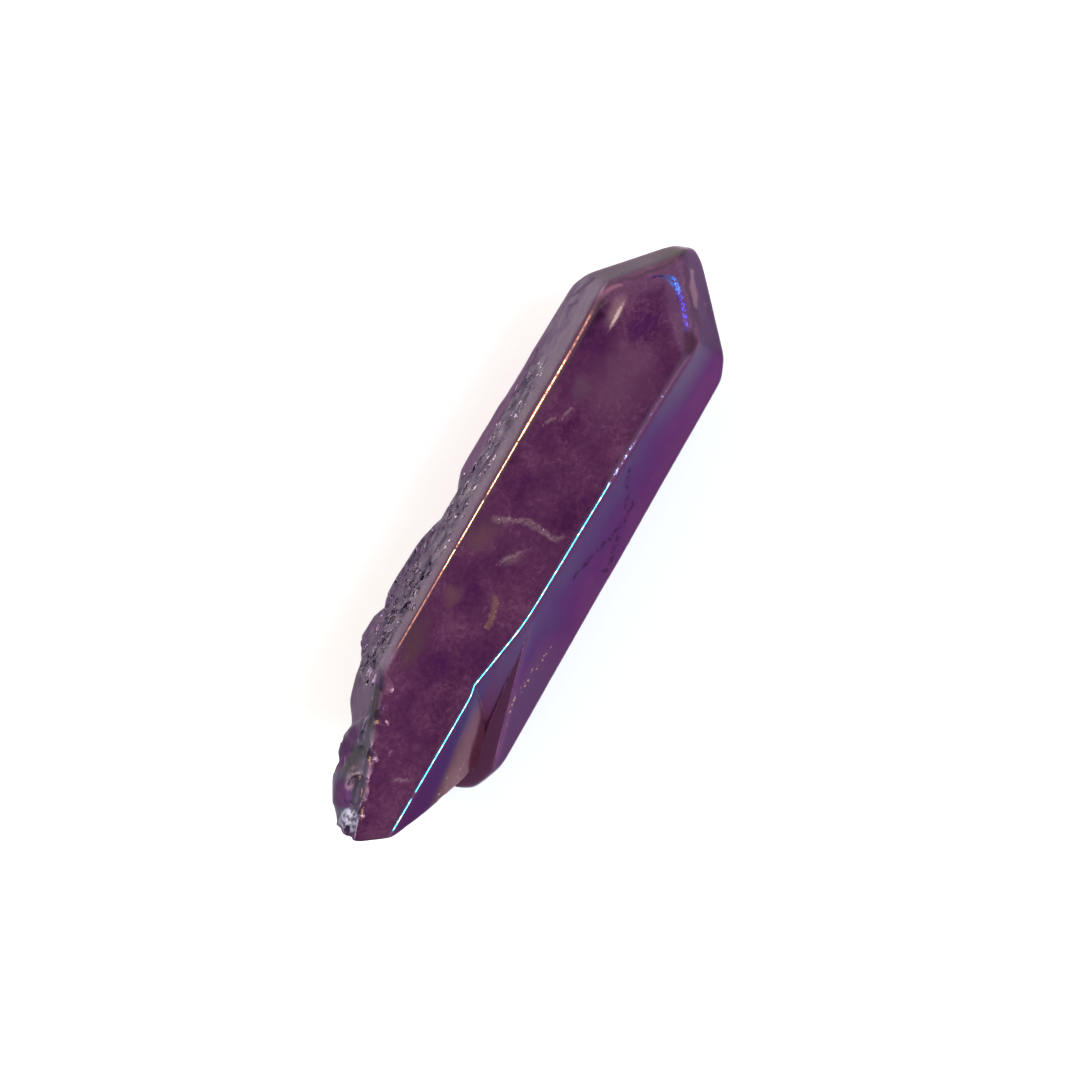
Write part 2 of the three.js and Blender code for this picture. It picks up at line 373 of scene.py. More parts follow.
@dataclass
class QuartzPoint:
    """The whole crystal as one body. Sizes in millimetres."""

    length: float = 56.8
    height: float = 12.2
    top_left_edge: float = 4.56
    top_right_edge: float = 3.72
    left_corner: float = 7.5
    right_corner: float = 7.87
    ledge_drop: float = 0.7
    rhomb_lean: float = 38.21
    body_round: float = 0.75
    edge_round: float = 0.45
    crown: float = 0.5
    scar_depth: float = 0.3
    voxel: float = 0.25
    seed: int = 20
    blocks: list[Block] = field(init=False)
    pits: Hollows = field(init=False)
    chips: Hollows = field(init=False)
    edge_scars: Shards = field(init=False)
    end_scars: Shards = field(init=False)

    def __post_init__(self) -> None:
        """Sets out the faces and the blocks that they bound."""
        self._lay_out_faces()
        self.blocks = [self._body(), self._tip_layer(), *self._main(), *self._ledges()]
        self.pits = self._pits()
        self.chips = self._chips()
        self.edge_scars = Shards((-28.8, -0.8, 7.0), (-14.0, 6.6, 12.6), 190, 0.24, 0.26, 5)
        self.end_scars = Shards((-29.0, -7.5, 0.0), (-17.0, 5.0, 12.0), 150, 0.2, 0.13, 8)

    def _lay_out_faces(self) -> None:
        """The growth faces and the broken ones, by name."""
        high = self.height
        through = Face.through
        self.top = through(prism_normal(90), (0, 0, high), Region.TOP)
        self.under = through(prism_normal(-90), (0, 0, 0), Region.LOW)
        self.left = through(prism_normal(30, 0.84), (0, self.top_left_edge, high), Region.LEFT)
        self.right = through(prism_normal(150, -1.71), (0, -self.top_right_edge, high), Region.RIGHT)
        self.low_left = self._below(self.left, prism_normal(-30, 2.7), 5, self.left_corner)
        back_corner = self.left_corner - self.ledge_drop + 0.17
        self.low_left_back = self._below(self.left, prism_normal(-30, 1), 0, back_corner)
        self.low_right = self._below(self.right, prism_normal(-150, 0.99), 0, -self.right_corner)
        lean = self.rhomb_lean
        self.termination = (
            through(prism_normal(30, lean), (23.95, 2.75, high), Region.TIP_LEFT),
            through(prism_normal(150, lean), (24.15, -2.4, high), Region.TIP_RIGHT),
            through(prism_normal(-30, lean), (25.35, 3.5, 8.4), Region.TIP_LEFT),
            through(prism_normal(-150, lean), (25.1, -4.45, 7.6), Region.TIP_RIGHT),
            through(prism_normal(-90, lean), (18.6, 0, 0), Region.LOW),
            through(prism_normal(90, 5), (18.5, 0, high), Region.TOP),
            through((1, -0.45, 0.1), (self.length / 2 + 0.2, -0.6, 8), Region.TIP_RIGHT),
            through((1, 0.35, 0.1), (self.length / 2 + 0.2, -0.6, 8), Region.TIP_LEFT),
        )
        self.base_left = through((-0.282, 0.819, 0.5), (-18.3, 3.6, high), Region.BEVEL)
        self.base_low_left = through((-0.344, 1, -0.3), (-18.3, 5.35, 8.2), Region.KNOB)
        self.cleft_floor = through((-0.442, -0.089, 0.893), (-7.3, -4.4, 10.59), Region.CLEFT)
        self.sidecar_end = through((-0.82, -0.55, 0.12), (-20.2, -5.8, 4.2), Region.BROKEN)
        self.sidecar_bevel = through((-0.4, -0.9, 0.05), (-18.3, -7.15, 4.2), Region.BROKEN)
        self.sidecar_heel = through((-0.9, -0.25, -0.36), (-21.1, -4.8, 5), Region.BROKEN)
        self.wall_run_in = through((-0.152, -0.853, 0.5), (-5.8, -3.52, high), Region.WALL_LOW)
        self.wall_base = through((-0.017, -0.866, 0.5), (-21.7, -2.44, high), Region.WALL_HIGH)
        self.wall_steep = through((0.017, -0.924, 0.381), (-16.3, -5.34, 6.04), Region.WALL_LOW)
        self.wall_kink = through((0.26, -0.9, 0.35), (-12.2, -2.4, high), Region.WALL_HIGH)
        back = -self.length / 2 + 0.4
        self.base_end = through((-0.94, -0.16, -0.26), (back, -0.3, 10.6), Region.BROKEN)
        self.base_right = through((-0.8, -0.58, -0.1), (-26.85, -2.1, 11), Region.BROKEN)
        self.base_flank = through((-0.55, -0.6, -0.402), (-26.3, -2.8, 11.5), Region.BROKEN)
        self.base_heel = through((-0.62, 0.05, -0.75), (-24.8, 0, 3.6), Region.BROKEN)
        self.base_under = through((-0.2, 0.05, -0.98), (-21, 0, 0.5), Region.BROKEN)

    def _below(self, upper: Face, direction: Point, x: float, breadth: float) -> Face:
        """A lower flank that meets an upper one where that one reaches a breadth."""
        return Face.through(direction, (x, breadth, upper.height(x, breadth)), Region.LOW)

    def _body(self) -> Block:
        """From the tip to the end of the smaller crystal beside the cleft."""
        flanks = (self.top, self.left, self.low_left_back, self.under, self.low_right, self.right)
        base = (
            self.cleft_floor,
            self.sidecar_end,
            self.sidecar_bevel,
            self.sidecar_heel,
            self.base_left,
            self.base_low_left.moved(-0.5),
        )
        return Block(flanks + self.termination + base, self.body_round, crown=self.crown)

    def _tip_layer(self) -> Block:
        """The tip half's own outer layer on the left flank, which ends in the first ledge."""
        end = Face.through((-0.5, 0.85, -0.2), (1.9, 7.16, 7.2), Region.LEFT)
        back = Face.through((-1, 0, 0), (0, 0, 0), Region.LEFT)
        flanks = (self.top, self.left, self.right, self.low_right, self.under, self.low_left)
        return Block(flanks + self.termination + (end, back), self.body_round, crown=self.crown)

    def _main(self) -> list[Block]:
        """The main crystal above the cleft, in two blocks that meet at the kink of its right wall."""
        shared = (
            self.top,
            self.left,
            self.low_left_back.moved(-0.1),
            self.low_right.moved(-0.6),
            self.under.moved(-0.8),
            self.base_left,
        )
        near = (
            self.right,
            self.wall_run_in,
            self.base_low_left.moved(-0.2),
            Face.through((1, 0, 0), (8, 0, 0), Region.TOP),
            Face.through((-1, 0.1, 0), (-16.5, 0, 0), Region.TOP),
        )
        far = (
            self.base_low_left,
            self.wall_kink,
            self.wall_base,
            self.wall_steep,
            Face.through((1, 0, 0), (-2, 0, 0), Region.TOP),
            self.base_end,
            self.base_right,
            self.base_flank,
            self.base_heel,
            self.base_under,
        )
        return [Block(shared + near, self.edge_round), Block(shared + far, self.edge_round)]

    def _ledges(self) -> list[Block]:
        """The growth ledges of the left flank and the knobs of its base."""
        flank = (
            Ledge(((-0.4, 6.7), (-3.6, 7.68), (-9.2, 7.94), (-11.2, 7.1)), 0.02, 0.6),
            Ledge(((-9.4, 7.1), (-11.2, 7.96), (-13.4, 8.0), (-14.3, 7.6), (-16.4, 6.2)), 0.02, 1.8),
        )
        knob = {"region": Region.KNOB, "join": 0.7, "below_top": 1.1}
        base = (
            Ledge(((-13.8, 7.2), (-16, 6.92), (-18.5, 6.2), (-21.4, 4.0)), 0.1, 2.4, join=0.3),
            Ledge(((-19.0, 4.2), (-21.1, 5.3), (-22.6, 5.25), (-25.4, 3.4)), 0.3, 3.2, **knob),
            Ledge(((-22.4, 4.3), (-24.6, 4.4), (-27.2, 2.85), (-27.6, 1.8)), 0.25, 3.8, **knob),
            Ledge(((-24.8, 3.9), (-26.2, 3.2), (-28.0, 1.95), (-28.3, 1.3), (-27.7, 0.2)), 0.1, 4.6, **knob),
        )
        return [ledge.block(self.left, self.top, self.left) for ledge in flank] + [
            ledge.block(self.base_left, self.top, self.left) for ledge in base
        ]

    def _pits(self) -> Hollows:
        """The etched pits of the upper left flank: round ones by the base, fine slots by the tip."""
        rng = np.random.default_rng(self.seed)
        round_ones, slots = 90, 46
        count = round_ones + slots
        along = np.concatenate([rng.uniform(-17.5, 0.8, round_ones), rng.uniform(1.4, 14.0, slots)])
        down = np.concatenate([rng.uniform(1.0, 6.0, round_ones), rng.uniform(1.9, 4.2, slots)])
        size = rng.uniform(0, 1, count) ** 1.6
        slope = np.array([0.0, 0.5, -math.sqrt(0.75)])
        edge = np.stack([along, self.top_left_edge - 0.0147 * along, np.full(count, self.height)], 1)
        normal = np.array(self.left.normal)
        centres = edge + down[:, None] * slope + 0.03 * normal
        wide = np.stack([0.13 + 0.3 * size, 0.12 + 0.26 * size, 0.12 + 0.17 * size], 1)
        thin = np.stack([0.14 + 0.4 * size, 0.07 + 0.1 * size, 0.08 + 0.1 * size], 1)
        radii = np.where((np.arange(count) < round_ones)[:, None], wide, thin)
        turns = []
        for twist in rng.uniform(-0.4, 0.4, count):
            u = np.array([math.cos(twist), 0, 0]) + math.sin(twist) * slope
            v = np.cross(normal, u)
            turns.append(np.stack([u, v / np.linalg.norm(v), normal], 1))
        return Hollows(centres, radii, np.array(turns), 0.14)

    def _chips(self) -> Hollows:
        """The large chips of the broken base, and the scoops along the jagged edge of the top face."""
        broken = (
            (self.base_flank, -23.4, -1.7, 3.6, 0.6),
            (self.base_flank, -21.4, -3.4, 2.4, 0.4),
            (self.base_heel, -22.6, 1.7, 3.2, 0.5),
            (self.base_end, -26.9, 0.6, 2.6, 0.35),
            (self.sidecar_heel, -19.8, -2.6, 2.8, 0.4),
        )
        centres = []
        radii = []
        for face, x, y, radius, depth in broken:
            at = np.array([x, y, face.height(x, y)])
            centres.append(at + np.array(face.normal) * (radius - depth))
            radii.append([radius] * 3)
        outwards = np.array([-0.1, 0.4, 0.9])
        for x, y, radius, depth in (
            (-15.8, 4.15, 1.3, 0.3),
            (-18.35, 3.05, 0.9, 0.34),
            (-21.6, 2.35, 0.95, 0.4),
            (-23.5, 2.0, 0.7, 0.3),
            (-24.8, 1.35, 0.6, 0.28),
            (-26.1, 0.75, 0.8, 0.25),
        ):
            centres.append(np.array([x, y, self.height]) + outwards * (radius - depth))
            radii.append([radius * 0.8, radius * 1.25, radius])
        return Hollows(np.array(centres), np.array(radii), np.array([np.eye(3)] * len(radii)), 0.1)

    def relief(self, at: np.ndarray) -> np.ndarray:
        """How far the skin stands out from its ideal faces, from growth, etching and breaking.

        Args:
            at: N points.

        Returns:
            N heights, negative where the skin lies deeper.
        """
        wave = 0.02 * lattice_noise(at, 6.0, 1) + 0.008 * lattice_noise(at, 2.2, 2)
        belt = smooth_step(-0.5, -0.1, self.left.beyond(at)) * smooth_step(11.2, 10.4, at[:, 2])
        belt *= smooth_step(15.5, 12.5, at[:, 0])
        wave += 0.006 * lattice_noise(at, 0.5, 6) * belt
        etched = 0.05 * lattice_noise(at * np.array([0.6, 1, 1]), 0.9, 3) * belt - 0.2 * self.etching(at)
        return wave + etched - self.breaks(at)[0]

    def breaks(self, at: np.ndarray) -> tuple[np.ndarray, np.ndarray]:
        """How much the breaks at the base took off, and the shade of each scar.

        Args:
            at: N points.

        Returns:
            N depths and N shades.
        """
        height, shade = self.edge_scars.scars(at)
        past = self.base_left.beyond(at)
        share = smooth_step(-0.9, -0.35, past) * smooth_step(-14.2, -16.2, at[:, 0])
        share *= smooth_step(6.5, 7.5, at[:, 2])
        band = at[:, 1] - 3.6 - 0.37 * (at[:, 0] + 21.4)
        share *= 1 - smooth_step(-0.1, 0.3, band) * smooth_step(-22.0, -21.0, at[:, 0])
        reach = -0.03 + 0.1 * smooth_step(-0.5, 0.0, past)
        off = self.scar_depth * np.tanh(np.clip(reach - height, 0, None) / self.scar_depth) * share
        height, other = self.end_scars.scars(at)
        broken = np.zeros(len(at))
        for face in (self.base_end, self.base_right, self.base_flank, self.base_heel, self.base_under):
            broken = np.maximum(broken, smooth_step(-0.7, -0.2, face.beyond(at)))
        broken *= smooth_step(-15.0, -18.0, at[:, 0]) * smooth_step(12.0, 11.2, at[:, 2])
        broken *= smooth_step(-5.2, -4.2, at[:, 1])
        off = off + np.clip(-height, 0, 0.4) * broken * (1 - share)
        return off, np.where(share > 0.5, shade, other)

    def etching(self, at: np.ndarray) -> np.ndarray:
        """How deep in a small etched pit each point is.

        Args:
            at: N points.

        Returns:
            N shares from 0 to 1.
        """
        down = self.top_left_edge - 0.0147 * at[:, 0] + 0.5 - at[:, 1]
        belt = smooth_step(-0.5, -0.1, self.left.beyond(at)) * smooth_step(-0.1, -0.6, down)
        belt *= smooth_step(15.0, 12.0, at[:, 0]) * smooth_step(-19.0, -16.0, at[:, 0])
        calm = smooth_step(-4.0, 3.0, at[:, 0]) * smooth_step(6.4, 6.8, at[:, 1])
        belt *= 1 - np.maximum(calm, 0.75 * smooth_step(4.0, 5.5, at[:, 0]))
        grain = lattice_noise(at * np.array([0.75, 1.1, 1.1]), 0.5, 11)
        grain = grain + 0.5 * lattice_noise(at, 0.26, 12) + 0.4 * lattice_noise(at, 3.0, 13)
        return smooth_step(0.5, 0.75, grain) * belt

    def surface(self, at: np.ndarray) -> np.ndarray:
        """How far outside the crystal each point is, negative inside.

        Args:
            at: N points.

        Returns:
            N distances.
        """
        depth = self.blocks[0].depth(at)
        for block in self.blocks[1:]:
            other = block.depth(at)
            near = np.clip(block.join - np.abs(depth - other), 0, None) / block.join
            depth = np.minimum(depth, other) - near * near * block.join / 4
        depth = depth - self.relief(at)
        for hollows, soft in ((self.chips, 0.06), (self.pits, 0.08)):
            inside = hollows.depth(at)
            near = np.clip(soft - np.abs(depth - inside), 0, None) / soft
            depth = np.maximum(depth, inside) + near * near * soft / 4
        return np.maximum(depth, -at[:, 2])

    def slope(self, at: np.ndarray) -> np.ndarray:
        """The direction in which each point gets further out, by four samples round it.

        Args:
            at: N points.

        Returns:
            N directions, about one millimetre long.
        """
        step = 0.012
        corners = np.array([[1, -1, -1], [-1, -1, 1], [-1, 1, -1], [1, 1, 1]], float)
        total = sum(c * self.surface(at + c * step)[:, None] for c in corners)
        return total / (4 * step)

    def settle(self, at: np.ndarray, rounds: int) -> np.ndarray:
        """Moves points onto the surface.

        Args:
            at: N points near it.
            rounds: How often to correct them.

        Returns:
            The moved points.
        """
        for _ in range(rounds):
            slope = self.slope(at)
            square = np.maximum((slope * slope).sum(1), 0.2)
            at = at - slope * np.clip(self.surface(at) / square, -0.4, 0.4)[:, None]
        return at

    def region_shares(self, at: np.ndarray) -> dict[Region, np.ndarray]:
        """How much each region owns of each point of the skin.

        Args:
            at: N points.

        Returns:
            N shares for each region, which add up to 1.
        """
        depths = np.stack([block.depth(at) for block in self.blocks], 1)
        weight = np.exp(-(depths - depths.min(1, keepdims=True)) / 0.03)
        weight /= weight.sum(1, keepdims=True)
        total = {region: np.zeros(len(at)) for region in Region}
        for i, block in enumerate(self.blocks):
            for region, share in block.shares(at).items():
                total[region] += weight[:, i] * share
        return total


def mesh_points(mesh: bpy.types.Mesh) -> np.ndarray:
    """The vertices of a mesh.

    Args:
        mesh: The mesh, in metres.

    Returns:
        One row for each vertex, in millimetres.
    """
    flat = np.empty(len(mesh.vertices) * 3, np.float32)
    mesh.vertices.foreach_get("co", flat)
    return flat.reshape(-1, 3).astype(float) / MM


def set_mesh_points(mesh: bpy.types.Mesh, at: np.ndarray) -> None:
    """Puts the vertices of a mesh at points given in millimetres."""
    mesh.vertices.foreach_set("co", (at * MM).astype(np.float32).ravel())
    mesh.update()


@dataclass
class CrystalSkin:
    """Makes the crystal's mesh: an even net first, then a finer one where the skin bends."""

    crystal: QuartzPoint
    bend: float = 13.0
    rounds: int = 2

    def build(self, solid: bpy.types.Object) -> bpy.types.Object:
        """The finished crystal, wrapped round the plain solid.

        Args:
            solid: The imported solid, which is left as it is.

        Returns:
            The new object.
        """
        mesh = self._even_net(solid)
        self._relax(mesh)
        for _ in range(self.rounds):
            self._refine(mesh)
            set_mesh_points(mesh, self.crystal.settle(mesh_points(mesh), 2))
        at = self.crystal.settle(mesh_points(mesh), 2)
        set_mesh_points(mesh, at)
        self._shade(mesh, at)
        skin = bpy.data.objects.new("aura_crystal", mesh)
        bpy.context.scene.collection.objects.link(skin)
        return skin

    def _even_net(self, solid: bpy.types.Object) -> bpy.types.Mesh:
        """A net of even quads round the solid.

        Args:
            solid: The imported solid, which is left as it is.

        Returns:
            The net.
        """
        copy = bpy.data.objects.new("net", solid.data.copy())
        bpy.context.scene.collection.objects.link(copy)
        remesh = copy.modifiers.new("net", "REMESH")
        remesh.mode = "VOXEL"
        remesh.voxel_size = self.crystal.voxel * MM
        graph = bpy.context.evaluated_depsgraph_get()
        mesh = bpy.data.meshes.new_from_object(copy.evaluated_get(graph))
        mesh.name = "aura_crystal"
        mesh.materials.clear()
        bpy.data.objects.remove(copy)
        return mesh

    def _relax(self, mesh: bpy.types.Mesh) -> None:
        """Evens out the net while it settles on the surface.

        Args:
            mesh: The net.
        """
        at = self.crystal.settle(mesh_points(mesh), 2)
        ends = np.empty(len(mesh.edges) * 2, np.int64)
        mesh.edges.foreach_get("vertices", ends)
        a, b = ends.reshape(-1, 2).T
        count = np.bincount(ends, minlength=len(at))[:, None]
        for _ in range(3):
            total = np.zeros_like(at)
            for axis in range(3):
                total[:, axis] += np.bincount(a, at[b, axis], len(at))
                total[:, axis] += np.bincount(b, at[a, axis], len(at))
            at = self.crystal.settle(0.4 * at + 0.6 * total / count, 1)
        set_mesh_points(mesh, at)

    def _refine(self, mesh: bpy.types.Mesh) -> None:
        """Splits the edges over which the skin bends by more than a few degrees.

        Args:
            mesh: The net.
        """
        at = mesh_points(mesh)
        slope = self.crystal.slope(at)
        slope /= np.linalg.norm(slope, axis=1, keepdims=True)
        ends = np.empty(len(mesh.edges) * 2, np.int64)
        mesh.edges.foreach_get("vertices", ends)
        a, b = ends.reshape(-1, 2).T
        turn = (slope[a] * slope[b]).sum(1)
        long = np.linalg.norm(at[a] - at[b], axis=1) > 0.09
        split = np.flatnonzero((turn < math.cos(math.radians(self.bend))) & long)
        work = bmesh.new()
        work.from_mesh(mesh)
        work.edges.ensure_lookup_table()
        chosen = [work.edges[int(i)] for i in split]
        bmesh.ops.subdivide_edges(work, edges=chosen, cuts=1, use_grid_fill=True)
        bmesh.ops.triangulate(work, faces=[f for f in work.faces if len(f.verts) > 4])
        work.to_mesh(mesh)
        work.free()

    def _shade(self, mesh: bpy.types.Mesh, at: np.ndarray) -> None:
        """Gives the mesh its exact normals and the shares of its regions.

        Args:
            mesh: The finished net.
            at: Its vertices, in millimetres.
        """
        for region, share in self.crystal.region_shares(at).items():
            layer = mesh.attributes.new(region.value, "FLOAT", "POINT")
            layer.data.foreach_set("value", share.astype(np.float32))
        depth = smooth_step(-0.02, 0.08, self.crystal.pits.depth(at))
        layer = mesh.attributes.new("pit", "FLOAT", "POINT")
        layer.data.foreach_set("value", np.maximum(depth, self.crystal.etching(at)).astype(np.float32))
        off, shade = self.crystal.breaks(at)
        scooped = smooth_step(-0.03, 0.03, self.crystal.chips.depth(at))
        chipped = np.maximum(smooth_step(0.01, 0.08, off), scooped)
        for name, value in (("chipped", chipped), ("shard", shade)):
            layer = mesh.attributes.new(name, "FLOAT", "POINT")
            layer.data.foreach_set("value", value.astype(np.float32))
        slope = self.crystal.slope(at)
        slope /= np.linalg.norm(slope, axis=1, keepdims=True)
        mesh.shade_smooth()
        mesh.normals_split_custom_set_from_vertices(slope.astype(np.float32))


class Signal:
    """A number, colour or vector on its way through a material."""

    def __init__(self, graph: Graph, socket: bpy.types.NodeSocket) -> None:
        """Keeps the socket that the signal comes from."""
        self.graph = graph
        self.socket = socket

    def __add__(self, other: Value) -> Signal:
        """The sum of two numbers."""
        return self.graph.math("ADD", self, other)

    def __radd__(self, other: Value) -> Signal:
        """A plain number and this one."""
        return self + other

    def __sub__(self, other: Value) -> Signal:
        """One number less another."""
        return self.graph.math("SUBTRACT", self, other)

    def __rsub__(self, other: Value) -> Signal:
        """A plain number less this one."""
        return self.graph.math("SUBTRACT", other, self)

    def __mul__(self, other: Value) -> Signal:
        """The product of two numbers."""
        return self.graph.math("MULTIPLY", self, other)

    def __abs__(self) -> Signal:
        """The number without its sign."""
        return self.graph.math("ABSOLUTE", self, 0.0)

    def top(self, other: Value) -> Signal:
        """The larger of two numbers."""
        return self.graph.math("MAXIMUM", self, other)

    def rise(self, low: float, high: float) -> Signal:
        """Goes smoothly from 0 at low to 1 at high, or falls where low is the larger."""
        settings = {"interpolation_type": "SMOOTHSTEP"}
        values = {"Value": self, "From Min": low, "From Max": high}
        return self.graph.add("ShaderNodeMapRange", values, **settings)

    def band(self, low: float, high: float, soft: float) -> Signal:
        """Is 1 between low and high and fades out over soft beyond them."""
        return self.rise(low - soft, low) * self.rise(high + soft, high)

    def stretched(self, by: Point) -> Signal:
        """A vector scaled on each axis.

        Args:
            by: The factor for each axis.

        Returns:
            The scaled vector.
        """
        node = self.graph.tree.nodes.new("ShaderNodeVectorMath")
        node.operation = "MULTIPLY"
        self.graph.feed(node.inputs[0], self)
        node.inputs[1].default_value = by
        return Signal(self.graph, node.outputs[0])


Value = Signal | float


class Graph:
    """The node tree of one material, filled by short calls."""

    def __init__(self, name: str) -> None:
        """Starts a material with a plain shader.

        Args:
            name: The material's name.
        """
        self.material = bpy.data.materials.new(name)
        self.material.use_nodes = True
        self.tree = self.material.node_tree
        self.shader = self.tree.nodes["Principled BSDF"]
        self.place = self.tree.nodes.new("ShaderNodeTexCoord")

    def feed(self, socket: bpy.types.NodeSocket, value: Value | Colour) -> None:
        """Gives an input a signal or a plain value.

        Args:
            socket: The input.
            value: A signal, a number or a colour.
        """
        if isinstance(value, Signal):
            self.tree.links.new(value.socket, socket)
        elif socket.type == "RGBA":
            socket.default_value = (*value, 1)
        else:
            socket.default_value = value

    def add(self, kind: str, values: dict[str, Value | Colour], output: int = 0, **settings: str) -> Signal:
        """Adds a node.

        Args:
            kind: The node's type.
            values: What its inputs get, by name.
            output: Which output is the result.
            settings: Its other settings.

        Returns:
            The result.
        """
        node = self.tree.nodes.new(kind)
        for name, setting in settings.items():
            setattr(node, name, setting)
        for name, value in values.items():
            self.feed(node.inputs[name], value)
        return Signal(self, node.outputs[output])

    def math(self, operation: str, one: Value, other: Value) -> Signal:
        """Works out one sum from two numbers.

        Args:
            operation: The sum's name.
            one: The first number.
            other: The second number, which some sums leave out.

        Returns:
            The result.
        """
        node = self.tree.nodes.new("ShaderNodeMath")
        node.operation = operation
        self.feed(node.inputs[0], one)
        self.feed(node.inputs[1], other)
        return Signal(self, node.outputs[0])

    def spot_on(self) -> Signal:
        """Where on the piece the shading point is, in millimetres."""
        node = self.tree.nodes.new("ShaderNodeVectorMath")
        node.operation = "SCALE"
        self.tree.links.new(self.place.outputs["Object"], node.inputs[0])
        node.inputs["Scale"].default_value = 1 / MM
        return Signal(self, node.outputs[0])

    def split(self, vector: Signal) -> tuple[Signal, Signal, Signal]:
        """The three parts of a vector."""
        node = self.tree.nodes.new("ShaderNodeSeparateXYZ")
        self.tree.links.new(vector.socket, node.inputs[0])
        return tuple(Signal(self, output) for output in node.outputs)

    def mask(self, name: str) -> Signal:
        """A number kept on the mesh."""
        return self.add("ShaderNodeAttribute", {}, 2, attribute_name=name)

    def noise(self, at: Signal, size: float, detail: float = 3.0, rough: float = 0.5) -> Signal:
        """Cloudy noise round 0.5.

        Args:
            at: The place.
            size: The breadth of the largest lumps.
            detail: How many finer layers lie on them.
            rough: How strong each layer is beside the one before.

        Returns:
            The noise.
        """
        values = {"Vector": at, "Scale": 1 / size, "Detail": detail, "Roughness": rough}
        return self.add("ShaderNodeTexNoise", values)

    def warped(self, at: Signal, size: float, amount: float) -> Signal:
        """The place moved about by noise, so that what is drawn there gets an uneven outline.

        Args:
            at: The place.
            size: The breadth of the noise's lumps.
            amount: How far it is moved at most.

        Returns:
            The moved place.
        """
        values = {"Vector": at, "Scale": 1 / size, "Detail": 3.0}
        swirl = self.add("ShaderNodeTexNoise", values, 1)
        parts = self.tree.nodes.new("ShaderNodeSeparateColor")
        self.feed(parts.inputs[0], swirl)
        joined = self.tree.nodes.new("ShaderNodeCombineXYZ")
        for i in range(3):
            self.tree.links.new(parts.outputs[i], joined.inputs[i])
        centred = self.tree.nodes.new("ShaderNodeVectorMath")
        centred.operation = "SUBTRACT"
        self.feed(centred.inputs[0], at)
        centred.inputs[1].default_value = (amount,) * 3
        node = self.tree.nodes.new("ShaderNodeVectorMath")
        node.operation = "MULTIPLY_ADD"
        self.tree.links.new(joined.outputs[0], node.inputs[0])
        node.inputs[1].default_value = (2 * amount,) * 3
        self.tree.links.new(centred.outputs[0], node.inputs[2])
        return Signal(self, node.outputs[0])

    def flecks(self, at: Signal, size: float, share: float, radius: float) -> Signal:
        """Small scattered dots.

        Args:
            at: The place.
            size: How far apart the places for dots are.
            share: How many of those places have a dot, from 0 to 1.
            radius: The size of a dot, as a part of that distance.

        Returns:
            1 on a dot and 0 beside it.
        """
        near = self.add("ShaderNodeTexVoronoi", {"Vector": at, "Scale": 1 / size})
        parts = self.tree.nodes.new("ShaderNodeSeparateColor")
        self.tree.links.new(near.socket.node.outputs["Color"], parts.inputs[0])
        draw = Signal(self, parts.outputs[0])
        return near.rise(radius, radius * 0.5) * draw.rise(1 - share, 1.02 - share)

    def mix(self, one: Signal | Colour, other: Signal | Colour, share: Value) -> Signal:
        """A colour between two others.

        Args:
            one: The colour at share 0.
            other: The colour at share 1.
            share: How much of the other.

        Returns:
            The colour.
        """
        node = self.tree.nodes.new("ShaderNodeMix")
        node.data_type = "RGBA"
        self.feed(node.inputs[0], share)
        self.feed(node.inputs[6], one)
        self.feed(node.inputs[7], other)
        return Signal(self, node.outputs[2])

    def ramp(self, value: Signal, stops: tuple[tuple[float, Colour], ...]) -> Signal:
        """A colour picked from a row of them.

        Args:
            value: Where in the row, from 0 to 1.
            stops: Each colour and its place in the row.

        Returns:
            The colour.
        """
        node = self.tree.nodes.new("ShaderNodeValToRGB")
        self.feed(node.inputs[0], value)
        elements = node.color_ramp.elements
        while len(elements) < len(stops):
            elements.new(0.5)
        for element, (position, colour) in zip(elements, stops):
            element.position = position
            element.color = (*colour, 1)
        return Signal(self, node.outputs[0])

    def weigh(self, parts: list[tuple[Signal, Signal | Colour]]) -> Signal:
        """The sum of colours, each times its share.

        Args:
            parts: Each share and its colour.

        Returns:
            The sum.
        """
        total: Signal | Colour = (0.0, 0.0, 0.0)
        for share, colour in parts:
            total = self.mix(total, colour, share)
            total.socket.node.blend_type = "ADD"
        return total

    def measure(self, at: Signal, direction: tuple[float, float], start: float) -> Signal:
        """How far a place lies beyond the start in a direction of the top face's plane.

        Args:
            at: The place.
            direction: The direction, in which one millimetre counts as its length.
            start: Where the measure begins.

        Returns:
            The distance.
        """
        node = self.tree.nodes.new("ShaderNodeVectorMath")
        node.operation = "DOT_PRODUCT"
        self.feed(node.inputs[0], at)
        node.inputs[1].default_value = (*direction, 0)
        return Signal(self, node.outputs["Value"]) - start

    def blot(self, at: Signal, centre: Spot, size: Spot, turn: float = 0.0) -> Signal:
        """The distance from the middle of an oval in the plane of the top face.

        Args:
            at: The place.
            centre: The oval's middle.
            size: Its half length and half breadth.
            turn: How far it is turned, in degrees.

        Returns:
            0 in the middle and 1 on the outline.
        """
        cos, sin = math.cos(math.radians(turn)), math.sin(math.radians(turn))
        (x, y), (long, wide) = centre, size
        along = self.measure(at, (cos / long, sin / long), (x * cos + y * sin) / long)
        across = self.measure(at, (-sin / wide, cos / wide), (y * cos - x * sin) / wide)
        return self.math("SQRT", along * along + across * across, 0.0)

